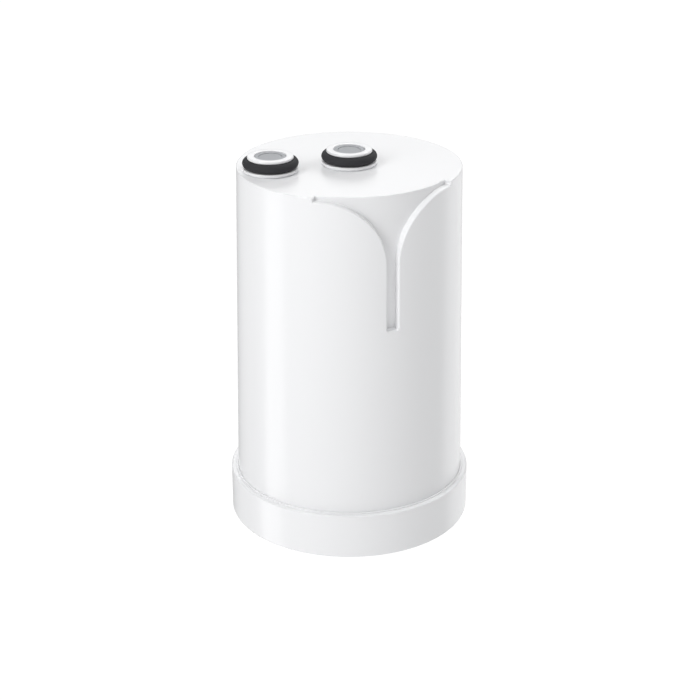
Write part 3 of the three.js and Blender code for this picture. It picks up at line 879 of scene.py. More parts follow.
@dataclass(frozen=True)
class KeyedSkin:
    """One skin of the shell: a drafted cone with the keyway's outline pressed into it.

    A place on it is (s, z, depth): s is the length along the deck's circle from the keyway's middle,
    and depth counts inwards from the shell's outer face. The outline's right half runs from the
    slot's lowest point along its bottom, round a corner, up its side, round a quarter circle, along a
    ledge, round a corner and up the end wall. margin grows the outline into the wall.
    """

    shell: ShellSizes
    top: float
    base_depth: float
    margin: float = 0.0
    edge: float = 0.35 * MM
    foot: float = 0.25 * MM
    corner: float = 0.4 * MM
    key_depth: float = 2 * MM
    half_width: float = 1.6 * MM
    quarter: float = 17 * MM
    ledge_drop: float = 1.2 * MM
    reach: float = 20.8 * MM
    bottom_steps: int = 3
    corner_steps: int = 4
    side_steps: int = 18
    quarter_steps: int = 36
    ledge_steps: int = 4
    end_steps: int = 3
    back_steps: int = 140
    fillet_steps: int = 5

    def _marks(self) -> Array:
        """Where each stretch of the outline's right half ends, as point numbers."""
        steps = (
            self.bottom_steps,
            self.corner_steps,
            self.side_steps,
            self.quarter_steps,
            self.ledge_steps,
            self.corner_steps,
            self.end_steps,
        )
        return np.cumsum((0, *steps))

    def outline(self) -> tuple[Array, Array]:
        """The outline's right half.

        Returns:
            Its (s, z) points and the unit directions that point into the wall, both of shape (n, 2).
        """
        slot_bottom = mount_place("keyway_stop")[2] - self.margin
        half = self.half_width + self.margin
        ledge = self.shell.deck - self.ledge_drop - self.margin
        quarter = self.quarter - self.margin
        centre = half + quarter
        reach = self.reach + self.margin
        round_ = self.corner

        def straight(start: tuple, end: tuple, steps: int, into: tuple) -> tuple[Array, Array]:
            """A straight stretch without its first point."""
            share = np.linspace(0, 1, steps + 1)[1:, None]
            line = np.array(start) * (1 - share) + np.array(end) * share
            return line, np.broadcast_to(np.array(into, float), line.shape)

        def bend(middle: tuple, angles: Array, radius: float, outward: float) -> tuple[Array, Array]:
            """An arc without its first point, whose wall lies outside (1) or inside (-1) it."""
            way = np.stack([np.cos(angles), np.sin(angles)], axis=1)[1:]
            return np.array(middle) + radius * way, outward * way

        quadrant = np.linspace(-math.pi / 2, 0, self.corner_steps + 1)
        sweep = np.linspace(math.pi, math.pi / 2, self.quarter_steps + 1)
        level = ledge - quarter
        stretches = [
            (np.array([[0, slot_bottom]]), np.array([[0.0, -1.0]])),
            straight((0, slot_bottom), (half - round_, slot_bottom), self.bottom_steps, (0, -1)),
            bend((half - round_, slot_bottom + round_), quadrant, round_, 1),
            straight((half, slot_bottom + round_), (half, level), self.side_steps, (1, 0)),
            bend((centre, level), sweep, quarter, -1),
            straight((centre, ledge), (reach - round_, ledge), self.ledge_steps, (0, -1)),
            bend((reach - round_, ledge + round_), quadrant, round_, 1),
            straight((reach, ledge + round_), (reach, self.top), self.end_steps, (1, 0)),
        ]
        return np.vstack([p for p, _ in stretches]), np.vstack([n for _, n in stretches])

    def place(self, s: Array, z: Array, depth: Array | float) -> Array:
        """Points at (s, z, depth) on the cone."""
        stop = mount_place("keyway_stop")
        angle = math.atan2(stop[0], -stop[1]) + s / self.shell.radius(self.shell.deck)
        radius = self.shell.radius(z) - depth
        return np.stack([radius * np.sin(angle), -radius * np.cos(angle), z], axis=-1)

    def _profile(self) -> tuple[Array, Array]:
        """The section across the outline: a rounded edge, a straight wall and a rounded foot.

        Returns:
            Offsets into the wall and depths under the base skin, from the outside in.
        """
        angle = np.linspace(0, math.pi / 2, self.fillet_steps + 1)
        offset = np.concatenate([self.edge * (1 - np.sin(angle)), self.foot * (np.cos(angle) - 1)])
        rise = self.key_depth - self.foot + self.foot * np.sin(angle)
        depth = np.concatenate([self.edge * (1 - np.cos(angle)), rise])
        return offset, depth

    def _columns(self, s: Array, low: Array | float, high: Array | float, rows: Array, depth: float) -> Array:
        """A patch of straight columns: at each s, z runs from low to high as rows runs from 0 to 1."""
        low = np.broadcast_to(low, s.shape)
        high = np.broadcast_to(high, s.shape)
        z = low + rows[:, None] * (high - low)
        return self.place(np.broadcast_to(s, z.shape), z, depth)

    def add_to(self, surface: Surface) -> tuple[Array, Array]:
        """Adds the skin's patches to a surface.

        The floor and the base skin are columns between the outline and straight rows, so that every
        patch meets its neighbours point to point.

        Args:
            surface: where the patches go.
        Returns:
            The skin's bottom loop and its top loop, of shape (n, 3).
        """
        m = self._marks()
        points, into = self.outline()
        outer = points + self.edge * into
        inner = points - self.foot * into
        side = (points[m[2] : m[3] + 1, 1] - points[m[2], 1]) / (points[m[3], 1] - points[m[2], 1])
        end = (points[m[6] :, 1] - points[m[6], 1]) / (points[m[7], 1] - points[m[6], 1])
        arc = slice(m[3] + 1, m[6] + 1)
        slot = slice(0, m[2] + 1)
        base, floor = self.base_depth, self.base_depth + self.key_depth
        level = points[m[3], 1]

        def mirrored(values: Array, sign: float) -> Array:
            """The whole width's values from the right half's, left to right."""
            return np.concatenate([sign * values[:0:-1], values])

        low, high = mirrored(inner[slot, 0], -1), mirrored(inner[slot, 1], 1)
        surface.grid(self._columns(low, high, level, side, floor))
        across = mirrored(np.concatenate([inner[slot, 0], inner[arc, 0]]), -1)
        feet = mirrored(np.concatenate([np.full(m[2] + 1, level), inner[arc, 1]]), 1)
        funnel = self._columns(across, feet, self.top, end, floor)
        surface.grid(funnel)

        length = TURN * self.shell.radius(self.shell.deck)
        far = outer[m[6], 0]
        back = np.linspace(far, length - far, self.back_steps + 1)
        beyond = self._columns(back, outer[m[6], 1], self.top, end, base)
        surface.grid(beyond)
        beside = np.concatenate([[outer[m[2], 0]], outer[arc, 0], back[1:-1]])
        beside = np.concatenate([beside, length - beside[: len(outer[arc]) + 1][::-1]])
        crest = np.concatenate([[level], outer[arc, 1], np.full(len(back) - 2, outer[m[6], 1])])
        crest = np.concatenate([crest, crest[: len(outer[arc]) + 1][::-1]])
        surface.grid(self._columns(beside, outer[m[2], 1], crest, side, base))
        below = np.concatenate([outer[slot, 0], beside[1:-1], length - outer[slot, 0][:0:-1]])
        level_roof = np.full(len(beside) - 2, outer[m[2], 1])
        roof = np.concatenate([outer[slot, 1], level_roof, outer[slot, 1][:0:-1]])
        lower = self._columns(below, self.shell.bottom, roof, np.linspace(0, 1, 13), base)
        surface.grid(lower, around=True)

        offset, depth = self._profile()
        line = np.vstack([points[:0:-1] * (-1, 1), points])
        way = np.vstack([into[:0:-1] * (-1, 1), into])
        spots = line[:, None, :] + offset[:, None] * way[:, None, :]
        wall = self.place(spots[..., 0], spots[..., 1], base + depth)
        surface.grid(wall)
        top_loop = np.vstack([beyond[-1], wall[0, 1:-1], funnel[-1], wall[-1, -2:0:-1]])
        return lower[0], top_loop


@dataclass(frozen=True)
class Spigot:
    """A port's tube through the deck, from its boss inside the shell to its rim."""

    axis: tuple[float, float]
    rim: float
    deck: float
    bore: float = 4.2 * MM
    groove: float = 4.95 * MM
    land: float = 6.1 * MM
    collar: float = 7.3 * MM
    neck: float = 6.85 * MM
    neck_height: float = 0.3 * MM
    collar_top: float = 1.0 * MM
    groove_top: float = 3.5 * MM
    around: int = 96

    def profile(self, inside: list[Corner], underside: float) -> Array:
        """The section from the deck over the collar, groove, land and rim, and down to the boss.

        Args:
            inside: the corners from the bore's lower end to the boss's outside.
            underside: the height of the deck's underside.
        Returns:
            (radius, z) points from the deck to its underside.
        """
        collar_top = self.deck + self.collar_top
        corners = [
            (self.neck, self.deck, 0.0),
            (self.neck, self.deck + self.neck_height, 0.0),
            (self.collar, self.deck + self.neck_height, 0.1 * MM),
            (self.collar, collar_top, 0.2 * MM),
            (self.groove, collar_top, 0.2 * MM),
            (self.groove, self.deck + self.groove_top, 0.15 * MM),
            (self.land, self.deck + self.groove_top, 0.15 * MM),
            (self.land, self.rim, 0.45 * MM),
            (self.bore, self.rim, 0.2 * MM),
            *inside,
            (inside[-1][0], underside, 0.0),
        ]
        return rounded(corners, steps=5)

    def mouth(self, radius: float, z: float) -> Array:
        """The spigot's circle at a height, as a loop of shape (around, 3)."""
        return turned(np.array([[radius, z]]), self.around, np.array(self.axis))[0]


@dataclass(frozen=True)
class OuterShell:
    """The white moulding: a cup with the deck, both spigots and the keyway."""

    sizes: ShellSizes
    rim_round: float = 0.24 * MM
    boss: float = 8 * MM
    boss_bottom: float = 88 * MM
    socket: float = 6 * MM
    socket_top: float = 95 * MM
    inlet_boss: float = 6 * MM
    inlet_boss_bottom: float = 92.85 * MM

    def build(self) -> bpy.types.Object:
        """Builds the moulding's outer and inner skins, deck and spigots."""
        surface = Surface()
        deck = self.sizes.deck
        underside = deck - self.sizes.deck_thickness
        outer = KeyedSkin(self.sizes, top=deck - self.rim_round, base_depth=0.0)
        inner = KeyedSkin(
            self.sizes,
            top=underside,
            base_depth=self.sizes.wall,
            margin=self.sizes.wall,
            edge=0.2 * MM,
            foot=0.2 * MM,
            corner=0.3 * MM,
        )
        outer_foot, outer_top = outer.add_to(surface)
        inner_foot, inner_top = inner.add_to(surface)
        surface.grid(np.stack([outer_foot, inner_foot]), around=True)
        across, up = quarter_round(self.rim_round)
        rim = stepped(outer_top, across, outer.top + up)
        surface.grid(rim, around=True)

        mouths, bosses = [rim[-1]], [inner_top]
        for port, ring, inside in (
            ("outlet", "outlet_port_o_ring", self._outlet_inside()),
            ("inlet", "inlet_port_o_ring", self._inlet_inside()),
        ):
            spigot = Spigot(tuple(axis_of(ring)), rim=mount_place(port + "_port_rim")[2], deck=deck)
            profile = spigot.profile(inside, underside)
            surface.grid(turned(profile, spigot.around, np.array(spigot.axis)), around=True)
            mouths.append(spigot.mouth(spigot.neck, deck))
            bosses.append(spigot.mouth(profile[-1, 0], underside))
        surface.fill(mouths)
        surface.fill(bosses)
        return place_piece(surface, "outer_shell", SHELL_WHITE)

    def _outlet_inside(self) -> list[Corner]:
        """The outlet's corners from its bore, over the socket for the element, to the boss."""
        return [
            (4.2 * MM, self.socket_top, 0.15 * MM),
            (self.socket, self.socket_top, 0.2 * MM),
            (self.socket, self.boss_bottom, 0.6 * MM),
            (self.boss, self.boss_bottom, 0.3 * MM),
        ]

    def _inlet_inside(self) -> list[Corner]:
        """The inlet's corners from its bore to its boss."""
        return [
            (4.2 * MM, self.inlet_boss_bottom, 0.3 * MM),
            (self.inlet_boss, self.inlet_boss_bottom, 0.3 * MM),
        ]


# ---- base cap ---------------------------------------------------------------------------------
@dataclass(frozen=True)
class BaseCap:
    """The cap that closes the shell's foot: a skirt, a floor with ribs under it, and a sealed plug."""

    shell: ShellSizes
    height: float
    radius: float
    foot_width: float = 3.6 * MM
    edge: float = 0.42 * MM
    skirt_gap: float = 0.03 * MM
    bead_width: float = 0.55 * MM
    bead_height: float = 0.38 * MM
    recess: float = 2 * MM
    floor: float = 2.5 * MM
    plug_height: float = 7.5 * MM
    plug_wall: float = 2.6 * MM
    seal_seat: float = 1.5 * MM
    ribs: int = 8
    rib_width: float = 1.6 * MM
    rib_depth: float = 1.3 * MM
    hub: float = 7 * MM
    gate: float = 1.6 * MM
    ease: float = 0.25 * MM
    around: int = 192

    @classmethod
    def from_frame(cls, shell: ShellSizes) -> "BaseCap":
        """Reads the cap's height and radius from the frame."""
        return cls(shell=shell, height=mount_place("ring_ledge")[2], radius=node_box("base_cap")[1, 0])

    def _section(self) -> Array:
        """The section from the ribs' level, over foot, skirt and plug, to the middle of the floor."""
        floor_top = self.recess + self.floor
        foot_inner = self.radius - self.edge - self.foot_width
        bore = self.shell.radius(self.height) + self.skirt_gap
        plug_top = floor_top + self.plug_height
        plug = self.shell.radius(plug_top) - self.shell.wall - 0.15 * MM
        seat = plug - self.seal_seat
        seal_low, seal_high = node_box("base_cap_seal")[:, 2] + np.array([-0.05, 0.05]) * MM
        small = 0.15 * MM
        corners = [
            (foot_inner, self.recess - self.rib_depth, 0.0),
            (foot_inner, 0.0, 0.3 * MM),
            (self.radius, 0.0, self.edge),
            (self.radius, self.height, self.edge),
            (bore + self.bead_width, self.height, 0.08 * MM),
            (bore + self.bead_width, self.height + self.bead_height, 0.26 * MM),
            (bore, self.height + self.bead_height, 0.08 * MM),
            (bore, floor_top, 0.3 * MM),
            (plug, floor_top, 0.3 * MM),
            (plug, seal_low, small),
            (seat, seal_low, small),
            (seat, seal_high, small),
            (plug, seal_high, small),
            (plug, plug_top, 0.4 * MM),
            (plug - self.plug_wall, plug_top, 0.4 * MM),
            (plug - self.plug_wall, floor_top, 0.5 * MM),
            (0.0, floor_top, 0.0),
        ]
        return rounded(corners, steps=5)

    def _pocket(self, index: int) -> Array:
        """The plan of a pocket between two ribs, counted from -Y."""
        outer = self.radius - self.edge - self.foot_width - 0.5 * MM
        middle = TURN * index / self.ribs - math.pi / 2
        return sector((self.hub, outer), self.ribs, self.rib_width, middle, corner=0.06, points=72)

    def build(self) -> bpy.types.Object:
        """Builds the turned section and the pockets under the floor, and the gate mark in the hub."""
        surface = Surface()
        section = self._section()
        cup = turned(section, self.around)
        surface.grid(cup, around=True)
        rib_level = self.recess - self.rib_depth
        across, along = quarter_round(self.ease)
        plans = [self._pocket(index) for index in range(self.ribs)]
        depths = [self.recess] * self.ribs
        plans.append(circle(np.zeros(2), self.gate, 32))
        depths.append(rib_level + 2 * self.ease)
        mouths = []
        for plan, depth in zip(plans, depths):
            offset = np.concatenate([-across[::-1], across])
            height = np.concatenate([rib_level + self.ease - along[::-1], depth - self.ease + along])
            walls = stepped(plan, offset, height)
            surface.grid(walls, around=True)
            surface.fill([walls[-1]])
            mouths.append(walls[0])
        surface.fill([cup[0], *mouths])
        return place_piece(surface, "base_cap", SHELL_WHITE)


# ---- seals ------------------------------------------------------------------------------------
@dataclass(frozen=True)
class ORing:
    """A ring of round section with the fine bead that its mould's two halves leave."""

    node: str
    around: int = 120
    sides: int = 32
    bead: float = 0.012 * MM

    def build(self) -> bpy.types.Object:
        """Turns the section r = s + bead exp(-(sin a / 0.1)^2), for angles a from its equator."""
        low, high = node_box(self.node)
        section = (high[2] - low[2]) / 2
        middle = (high[0] - low[0]) / 2 - section
        angle = np.arange(self.sides) / self.sides * TURN
        swell = section + self.bead * np.exp(-((np.sin(angle) / 0.1) ** 2))
        level = (low[2] + high[2]) / 2
        profile = np.stack([middle + swell * np.cos(angle), level + swell * np.sin(angle)], axis=1)
        surface = Surface()
        surface.grid(turned(profile, self.around, axis_of(self.node)), around=True, along=True)
        return place_piece(surface, self.node, SEAL_RUBBER)


@dataclass(frozen=True)
class BaseCapSeal:
    """The ring round the base cap's plug: two rounded lips outside and a flat back."""

    node: str = "base_cap_seal"
    depth: float = 1.4 * MM
    lip: float = 0.3 * MM

    def build(self) -> bpy.types.Object:
        """Turns the section: its two lips press on the shell's bore."""
        low, high = node_box(self.node)
        outer, inner = high[0], high[0] - self.depth
        middle = (low[2] + high[2]) / 2
        corners = [
            (inner, low[2], 0.2 * MM),
            (outer - 0.4 * MM, low[2], 0.2 * MM),
            (outer, low[2] + 0.6 * MM, 0.25 * MM),
            (outer - self.lip, middle, 0.3 * MM),
            (outer, high[2] - 0.6 * MM, 0.25 * MM),
            (outer - 0.4 * MM, high[2], 0.2 * MM),
            (inner, high[2], 0.2 * MM),
        ]
        return turned_piece(self.node, SEAL_RUBBER, corners, around=192)


def turned_piece(node: str, finish: Finish, corners: list[Corner], around: int = 96) -> bpy.types.Object:
    """A piece turned round its CAD node's axis from rounded corners that run all the way round.

    Args:
        node: the CAD node that it replaces.
        finish: its finish.
        corners: the section's corners as (radius, z, arc radius). A section that starts and ends on
            the axis stays open there.
        around: how many columns go round.
    Returns:
        The object.
    """
    solid = corners[0][0] == 0 and corners[-1][0] == 0
    surface = Surface()
    profile = rounded(corners, steps=4, closed=not solid)
    surface.grid(turned(profile, around, axis_of(node)), around=True, along=not solid)
    return place_piece(surface, node, finish)


def ring_corners(inner: float, outer: float, low: float, high: float, ease: float) -> list[Corner]:
    """The four corners of a ring's section, all with the same arc."""
    return [(outer, low, ease), (outer, high, ease), (inner, high, ease), (inner, low, ease)]


# ---- stop valves ------------------------------------------------------------------------------
@dataclass(frozen=True)
class StopValve:
    """The push-to-open valve in a port: sleeve, poppet, seal, spring and spider."""

    port: str
    sleeve_wall: float = 0.55 * MM
    lip_bore: float = 3.05 * MM
    lip: float = 0.7 * MM
    nose: float = 3.0 * MM
    stem: float = 1 * MM
    wire: float = 0.2 * MM
    turns: float = 6.5
    arms: int = 3
    arm_width: float = 0.7 * MM
    spider_rim: float = 0.42 * MM
    hub: float = 2 * MM

    def _node(self, piece: str) -> str:
        """The name of one of this port's CAD nodes."""
        return f"{self.port}_valve_{piece}"

    def sleeve(self) -> bpy.types.Object:
        """A thin sleeve with a lip at its top that the poppet closes."""
        low, high = node_box(self._node("sleeve"))
        radius = (high[0] - low[0]) / 2
        bore = radius - self.sleeve_wall
        corners = [
            (radius, low[2], 0.08 * MM),
            (radius, high[2], 0.12 * MM),
            (self.lip_bore, high[2], 0.08 * MM),
            (self.lip_bore, high[2] - self.lip, 0.05 * MM),
            (bore, high[2] - self.lip, 0.1 * MM),
            (bore, low[2], 0.1 * MM),
        ]
        return turned_piece(self._node("sleeve"), VALVE_GREY, corners)

    def poppet(self) -> bpy.types.Object:
        """A disc with a slightly dished face, a shoulder that carries the seal, and a stem."""
        low, high = node_box(self._node("poppet"))
        shoulder = (high[0] - low[0]) / 2
        seal_low = node_box(self._node("seal"))[0, 2]
        shoulder_top = seal_low - 0.02 * MM
        underside = shoulder_top - 0.9 * MM
        corners = [
            (0.0, low[2], 0.0),
            (self.stem, low[2], 0.25 * MM),
            (self.stem, underside, 0.25 * MM),
            (shoulder, underside, 0.1 * MM),
            (shoulder, shoulder_top, 0.1 * MM),
            (self.nose - 0.05 * MM, shoulder_top, 0.02 * MM),
            (self.nose, shoulder_top + 0.5 * MM, 0.1 * MM),
            (self.nose, high[2], 0.08 * MM),
            (self.nose - 0.5 * MM, high[2], 0.3 * MM),
            (0.0, high[2] - 0.03 * MM, 0.0),
        ]
        return turned_piece(self._node("poppet"), VALVE_GREY, corners)

    def seal(self) -> bpy.types.Object:
        """A flat ring with rounded corners."""
        low, high = node_box(self._node("seal"))
        outer = (high[0] - low[0]) / 2
        corners = ring_corners(outer - 0.45 * MM, outer, low[2], high[2], 0.12 * MM)
        return turned_piece(self._node("seal"), SEAL_RUBBER, corners)

    def spring(self) -> bpy.types.Object:
        """A compression spring with closed ends.

        The height goes from end to end as t - sin(2 pi t) / (2 pi) does, so that the end turns lie flat.
        """
        node = self._node("spring")
        low, high = node_box(node)
        middle = (high[0] - low[0]) / 2 - self.wire
        t = np.linspace(0, 1, int(self.turns * 28) + 1)
        rise = t - 0.9 * np.sin(TURN * t) / TURN
        angle = TURN * self.turns * t
        z = low[2] + self.wire + (high[2] - low[2] - 2 * self.wire) * rise
        outwards = np.stack([np.cos(angle), np.sin(angle), 0 * t], axis=1)
        path = np.append(axis_of(node), 0) + middle * outwards + z[:, None] * np.array([0, 0, 1])
        surface = Surface()
        surface.grids(carried(path[None], outwards[None], self.wire, 10))
        piece = place_piece(surface, node, SPRING_STEEL)
        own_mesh(piece)
        return piece

    def _windows(self, rim: float, middle: Array) -> list[Array]:
        """The plans of the water ways between the spider's arms."""
        radii = (self.hub, rim - self.spider_rim)
        angles = [TURN * (arm + 0.5) / self.arms for arm in range(self.arms)]
        return [middle + sector(radii, self.arms, self.arm_width, a, corner=0.12, points=48) for a in angles]

    def spider(self) -> bpy.types.Object:
        """A pierced disc: rim, hub and arms, with eased edges."""
        node = self._node("spider")
        low, high = node_box(node)
        middle = axis_of(node)
        rim = (high[0] - low[0]) / 2
        ease = 0.1 * MM
        across, along = quarter_round(ease, 3)
        inset = np.concatenate([across[::-1], across])
        height = np.concatenate([low[2] + ease - along[::-1], high[2] - ease + along])
        holes = [*self._windows(rim, middle), circle(middle, self.stem + 0.1 * MM, 32)]
        surface = Surface()
        walls = [stepped(circle(middle, rim, 72), inset, height)]
        walls += [stepped(hole, -inset, height) for hole in holes]
        for wall in walls:
            surface.grid(wall, around=True)
        for end in (0, -1):
            surface.fill([wall[end] for wall in walls])
        return place_piece(surface, node, VALVE_GREY)

    def build(self) -> None:
        """Builds the valve's five pieces."""
        self.sleeve()
        self.poppet()
        self.seal()
        self.spring()
        self.spider()


@dataclass(frozen=True)
class InletStrainer:
    """A slotted thimble under the inlet valve."""

    basket: float = 3.3 * MM
    wall: float = 0.6 * MM
    flange: float = 1.2 * MM
    slots: int = 16
    node: str = "inlet_strainer"

    def build(self) -> bpy.types.Object:
        """Joins a pierced wall, a flange and a domed bottom, which overlap where they meet."""
        low, high = node_box(self.node)
        outer = (high[0] - low[0]) / 2
        inner = self.basket - self.wall
        edges = np.arange(self.slots * 4) / (self.slots * 4)
        bottom, top = low[2] + 0.3 * MM, high[2] - self.flange + 0.2 * MM
        heights = np.concatenate([[bottom], np.linspace(low[2] + 0.9 * MM, top - 0.8 * MM, 4), [top]])
        kept = np.ones((len(heights) - 1, len(edges)), bool)
        kept[1:-1] = (np.arange(len(edges)) % 4) < 2
        kept[2] = True
        surface = pierced_tube(inner, self.basket, edges, heights, kept)
        flange = ring_corners(inner, outer, high[2] - self.flange, high[2], 0.15 * MM)
        surface.grid(turned(rounded(flange, closed=True), 72), around=True, along=True)
        cup = [
            (0.0, low[2], 0.0),
            (self.basket, low[2], 0.5 * MM),
            (self.basket, low[2] + 0.8 * MM, 0.05 * MM),
            (inner, low[2] + 0.8 * MM, 0.05 * MM),
            (0.0, low[2] + self.wall, 0.0),
        ]
        surface.grid(turned(rounded(cup), 72), around=True)
        surface.move(axis_of(self.node))
        return place_piece(surface, self.node, VALVE_GREY)


# ---- filter element ---------------------------------------------------------------------------
@dataclass(frozen=True)
class FilterElement:
    """The element: end caps, netting, fleece, carbon, core tube and potted hollow fibres."""

    cap_wall: float = 0.75 * MM
    cap_disc: float = 2.5 * MM
    nipple: float = 5.6 * MM
    nipple_bore: float = 3.6 * MM
    strand: float = 0.13 * MM
    strands: int = 40
    strand_turns: float = 0.42
    carbon_bore: float = 13 * MM
    core_wall: float = 0.95 * MM
    core_columns: int = 12
    core_rows: int = 14
    fibre: float = 0.36 * MM
    loops: int = 190

    def top_cap(self) -> bpy.types.Object:
        """A shallow cap with a nipple that has a groove for its seal."""
        node = "element_top_cap"
        low, high = node_box(node)
        radius = high[0]
        disc_top = high[2] - 7.55 * MM
        disc = disc_top - self.cap_disc
        seal_low, seal_high = node_box("element_outlet_o_ring")
        groove_low, groove_high = seal_low[2] - 0.05 * MM, seal_high[2] + 0.05 * MM
        seat = seal_high[0] - (seal_high[2] - seal_low[2]) - 0.05 * MM
        small = 0.15 * MM
        corners = [
            (self.nipple_bore, disc, 0.3 * MM),
            (radius - self.cap_wall, disc, 0.3 * MM),
            (radius - self.cap_wall, low[2], 0.2 * MM),
            (radius, low[2], 0.3 * MM),
            (radius, disc_top, 0.8 * MM),
            (radius - 2.4 * MM, disc_top, 0.3 * MM),
            (radius - 2.8 * MM, disc_top - 0.5 * MM, 0.3 * MM),
            (self.nipple + 3 * MM, disc_top - 0.5 * MM, 0.3 * MM),
            (self.nipple + 2.6 * MM, disc_top, 0.3 * MM),
            (self.nipple, disc_top, 0.5 * MM),
            (self.nipple, groove_low, small),
            (seat, groove_low, small),
            (seat, groove_high, small),
            (self.nipple, groove_high, small),
            (self.nipple, high[2], 0.5 * MM),
            (self.nipple_bore, high[2], 0.2 * MM),
        ]
        return turned_piece(node, ELEMENT_PLASTIC, corners, around=144)

    def bottom_cap(self) -> bpy.types.Object:
        """A shallow cap with a plug for the core tube and two grooves under it."""
        node = "element_bottom_cap"
        low, high = node_box(node)
        radius = high[0]
        disc_top = low[2] + self.cap_disc
        plug = node_box("fibre_potting")[1, 0]
        groove = 0.4 * MM
        corners = [
            (0.0, low[2], 0.0),
            (9 * MM, low[2], 0.2 * MM),
            (9.6 * MM, low[2] + groove, 0.2 * MM),
            (11.4 * MM, low[2] + groove, 0.2 * MM),
            (12 * MM, low[2], 0.2 * MM),
            (radius, low[2], 0.8 * MM),
            (radius, disc_top + 4 * MM, 0.3 * MM),
            (radius - self.cap_wall, disc_top + 4 * MM, 0.2 * MM),
            (radius - self.cap_wall, disc_top, 0.3 * MM),
            (plug, disc_top, 0.3 * MM),
            (plug, high[2], 0.6 * MM),
            (0.0, high[2], 0.0),
        ]
        return turned_piece(node, ELEMENT_PLASTIC, corners, around=144)

    def netting(self) -> bpy.types.Object:
        """Extruded netting: two sets of strands wind in opposite ways and are welded where they cross."""
        node = "outer_netting"
        low, high = node_box(node)
        surface = Surface()
        share = np.linspace(0, 1, 40)
        start = np.arange(self.strands) / self.strands
        ways = ((1, high[0] - self.strand), (-1, high[0] - 1.9 * self.strand - 0.1 * MM))
        for way, radius in ways:
            angle = TURN * (start[:, None] + way * self.strand_turns * share)
            outwards = np.stack([np.cos(angle), np.sin(angle), 0 * angle], axis=-1)
            z = np.broadcast_to(low[2] + (high[2] - low[2]) * share, angle.shape)
            path = radius * outwards + z[..., None] * np.array([0, 0, 1])
            surface.grids(carried(path, outwards, self.strand, 6))
        return place_piece(surface, node, NETTING_PLASTIC)

    def _rough_tube(
        self, node: str, inner: float, rows: int, around: int, lumps: float, seed: int
    ) -> Surface:
        """A tube between a CAD node's ends, whose outside rises and falls by lumps."""
        low, high = node_box(node)
        z = np.linspace(low[2], high[2], rows)[:, None]
        angle = (np.arange(around) / around * TURN)[None]
        radius = high[0] - lumps + lumps * ripple(angle, z / (high[2] - low[2]) * TURN, seed)
        outside = np.stack([radius * np.sin(angle), -radius * np.cos(angle), z + 0 * angle], axis=-1)
        bore = turned(np.array([[inner, high[2]], [inner, low[2]]]), around)
        surface = Surface()
        surface.grid(np.concatenate([outside, bore]), around=True, along=True)
        return surface

    def fleece(self) -> bpy.types.Object:
        """A wrapped sheet of fleece, slightly lumpy."""
        node = "prefilter_fleece"
        inner = node_box("carbon_block")[1, 0] + 0.05 * MM
        surface = self._rough_tube(node, inner, rows=90, around=180, lumps=0.12 * MM, seed=3)
        return place_piece(surface, node, FLEECE)

    def carbon(self) -> bpy.types.Object:
        """A sintered carbon tube with a faintly uneven outside."""
        surface = self._rough_tube(
            "carbon_block", self.carbon_bore, rows=80, around=180, lumps=0.05 * MM, seed=5
        )
        return place_piece(surface, "carbon_block", CARBON)

    def core(self) -> bpy.types.Object:
        """A tube with rows of windows."""
        node = "core_tube"
        low, high = node_box(node)
        parts = 6
        angles = np.arange(self.core_columns * parts) / (self.core_columns * parts)
        pitch = (high[2] - low[2]) / self.core_rows
        edges = low[2] + pitch * (np.arange(self.core_rows)[:, None] + np.array([[0.2, 0.8]]))
        heights = np.concatenate([[low[2]], edges.ravel(), [high[2]]])
        kept = np.ones((len(heights) - 1, len(angles)), bool)
        kept[1::2] = (np.arange(len(angles)) % parts) < 2
        surface = pierced_tube(high[0] - self.core_wall, high[0], angles, heights, kept)
        piece = place_piece(surface, node, ELEMENT_PLASTIC)
        bevel = piece.modifiers.new("eased edges", "BEVEL")
        bevel.width = 0.12 * MM
        bevel.segments = 2
        bevel.limit_method = "ANGLE"
        bevel.angle_limit = math.radians(40)
        return piece

    def fibres(self) -> bpy.types.Object:
        """Hollow fibres, each a loop that hangs from the potting.

        The loops' middles lie on a sunflower spiral, r = R sqrt(i / n) at turns of the golden angle.
        A loop goes down one leg, round half a circle and up the other. The loops near the middle hang
        lowest, as the bundle's round end asks.
        """
        node = "fibre_bundle"
        low, high = node_box(node)
        bundle = high[0]
        i = np.arange(self.loops) + 0.5
        golden = math.pi * (3 - math.sqrt(5))
        half = 0.62 * MM
        spread = (bundle - self.fibre - half) * np.sqrt(i / self.loops)
        middle = spread[:, None] * np.stack([np.cos(golden * i), np.sin(golden * i)], axis=1)
        draw = np.random.default_rng(11)
        lean = draw.uniform(0, TURN, self.loops)
        across = np.stack([np.cos(lean), np.sin(lean)], axis=1)
        dome = 5.2 * MM * (1 - np.sqrt(np.clip(1 - (spread / bundle) ** 2, 0, 1)))
        foot = low[2] + self.fibre + half + dome + draw.uniform(0, 1.2 * MM, self.loops)
        bend = np.linspace(math.pi, TURN, 8)
        x = half * np.concatenate([[-1, -1], np.cos(bend), [1, 1]])
        drop = np.concatenate([[0, 0], np.sin(bend), [0, 0]])
        up = np.concatenate([[1, 0.5], np.zeros(8), [0.5, 1]])
        z = foot[:, None] + half * drop + up * (high[2] - foot[:, None])
        plan = middle[:, None, :] + x[None, :, None] * across[:, None, :]
        path = np.concatenate([plan, z[..., None]], axis=-1)
        side = np.stack([-across[:, 1], across[:, 0], 0 * lean], axis=1)
        side = np.broadcast_to(side[:, None, :], path.shape)
        surface = Surface()
        surface.grids(carried(path, side, self.fibre, 5))
        return place_piece(surface, node, FIBRE)

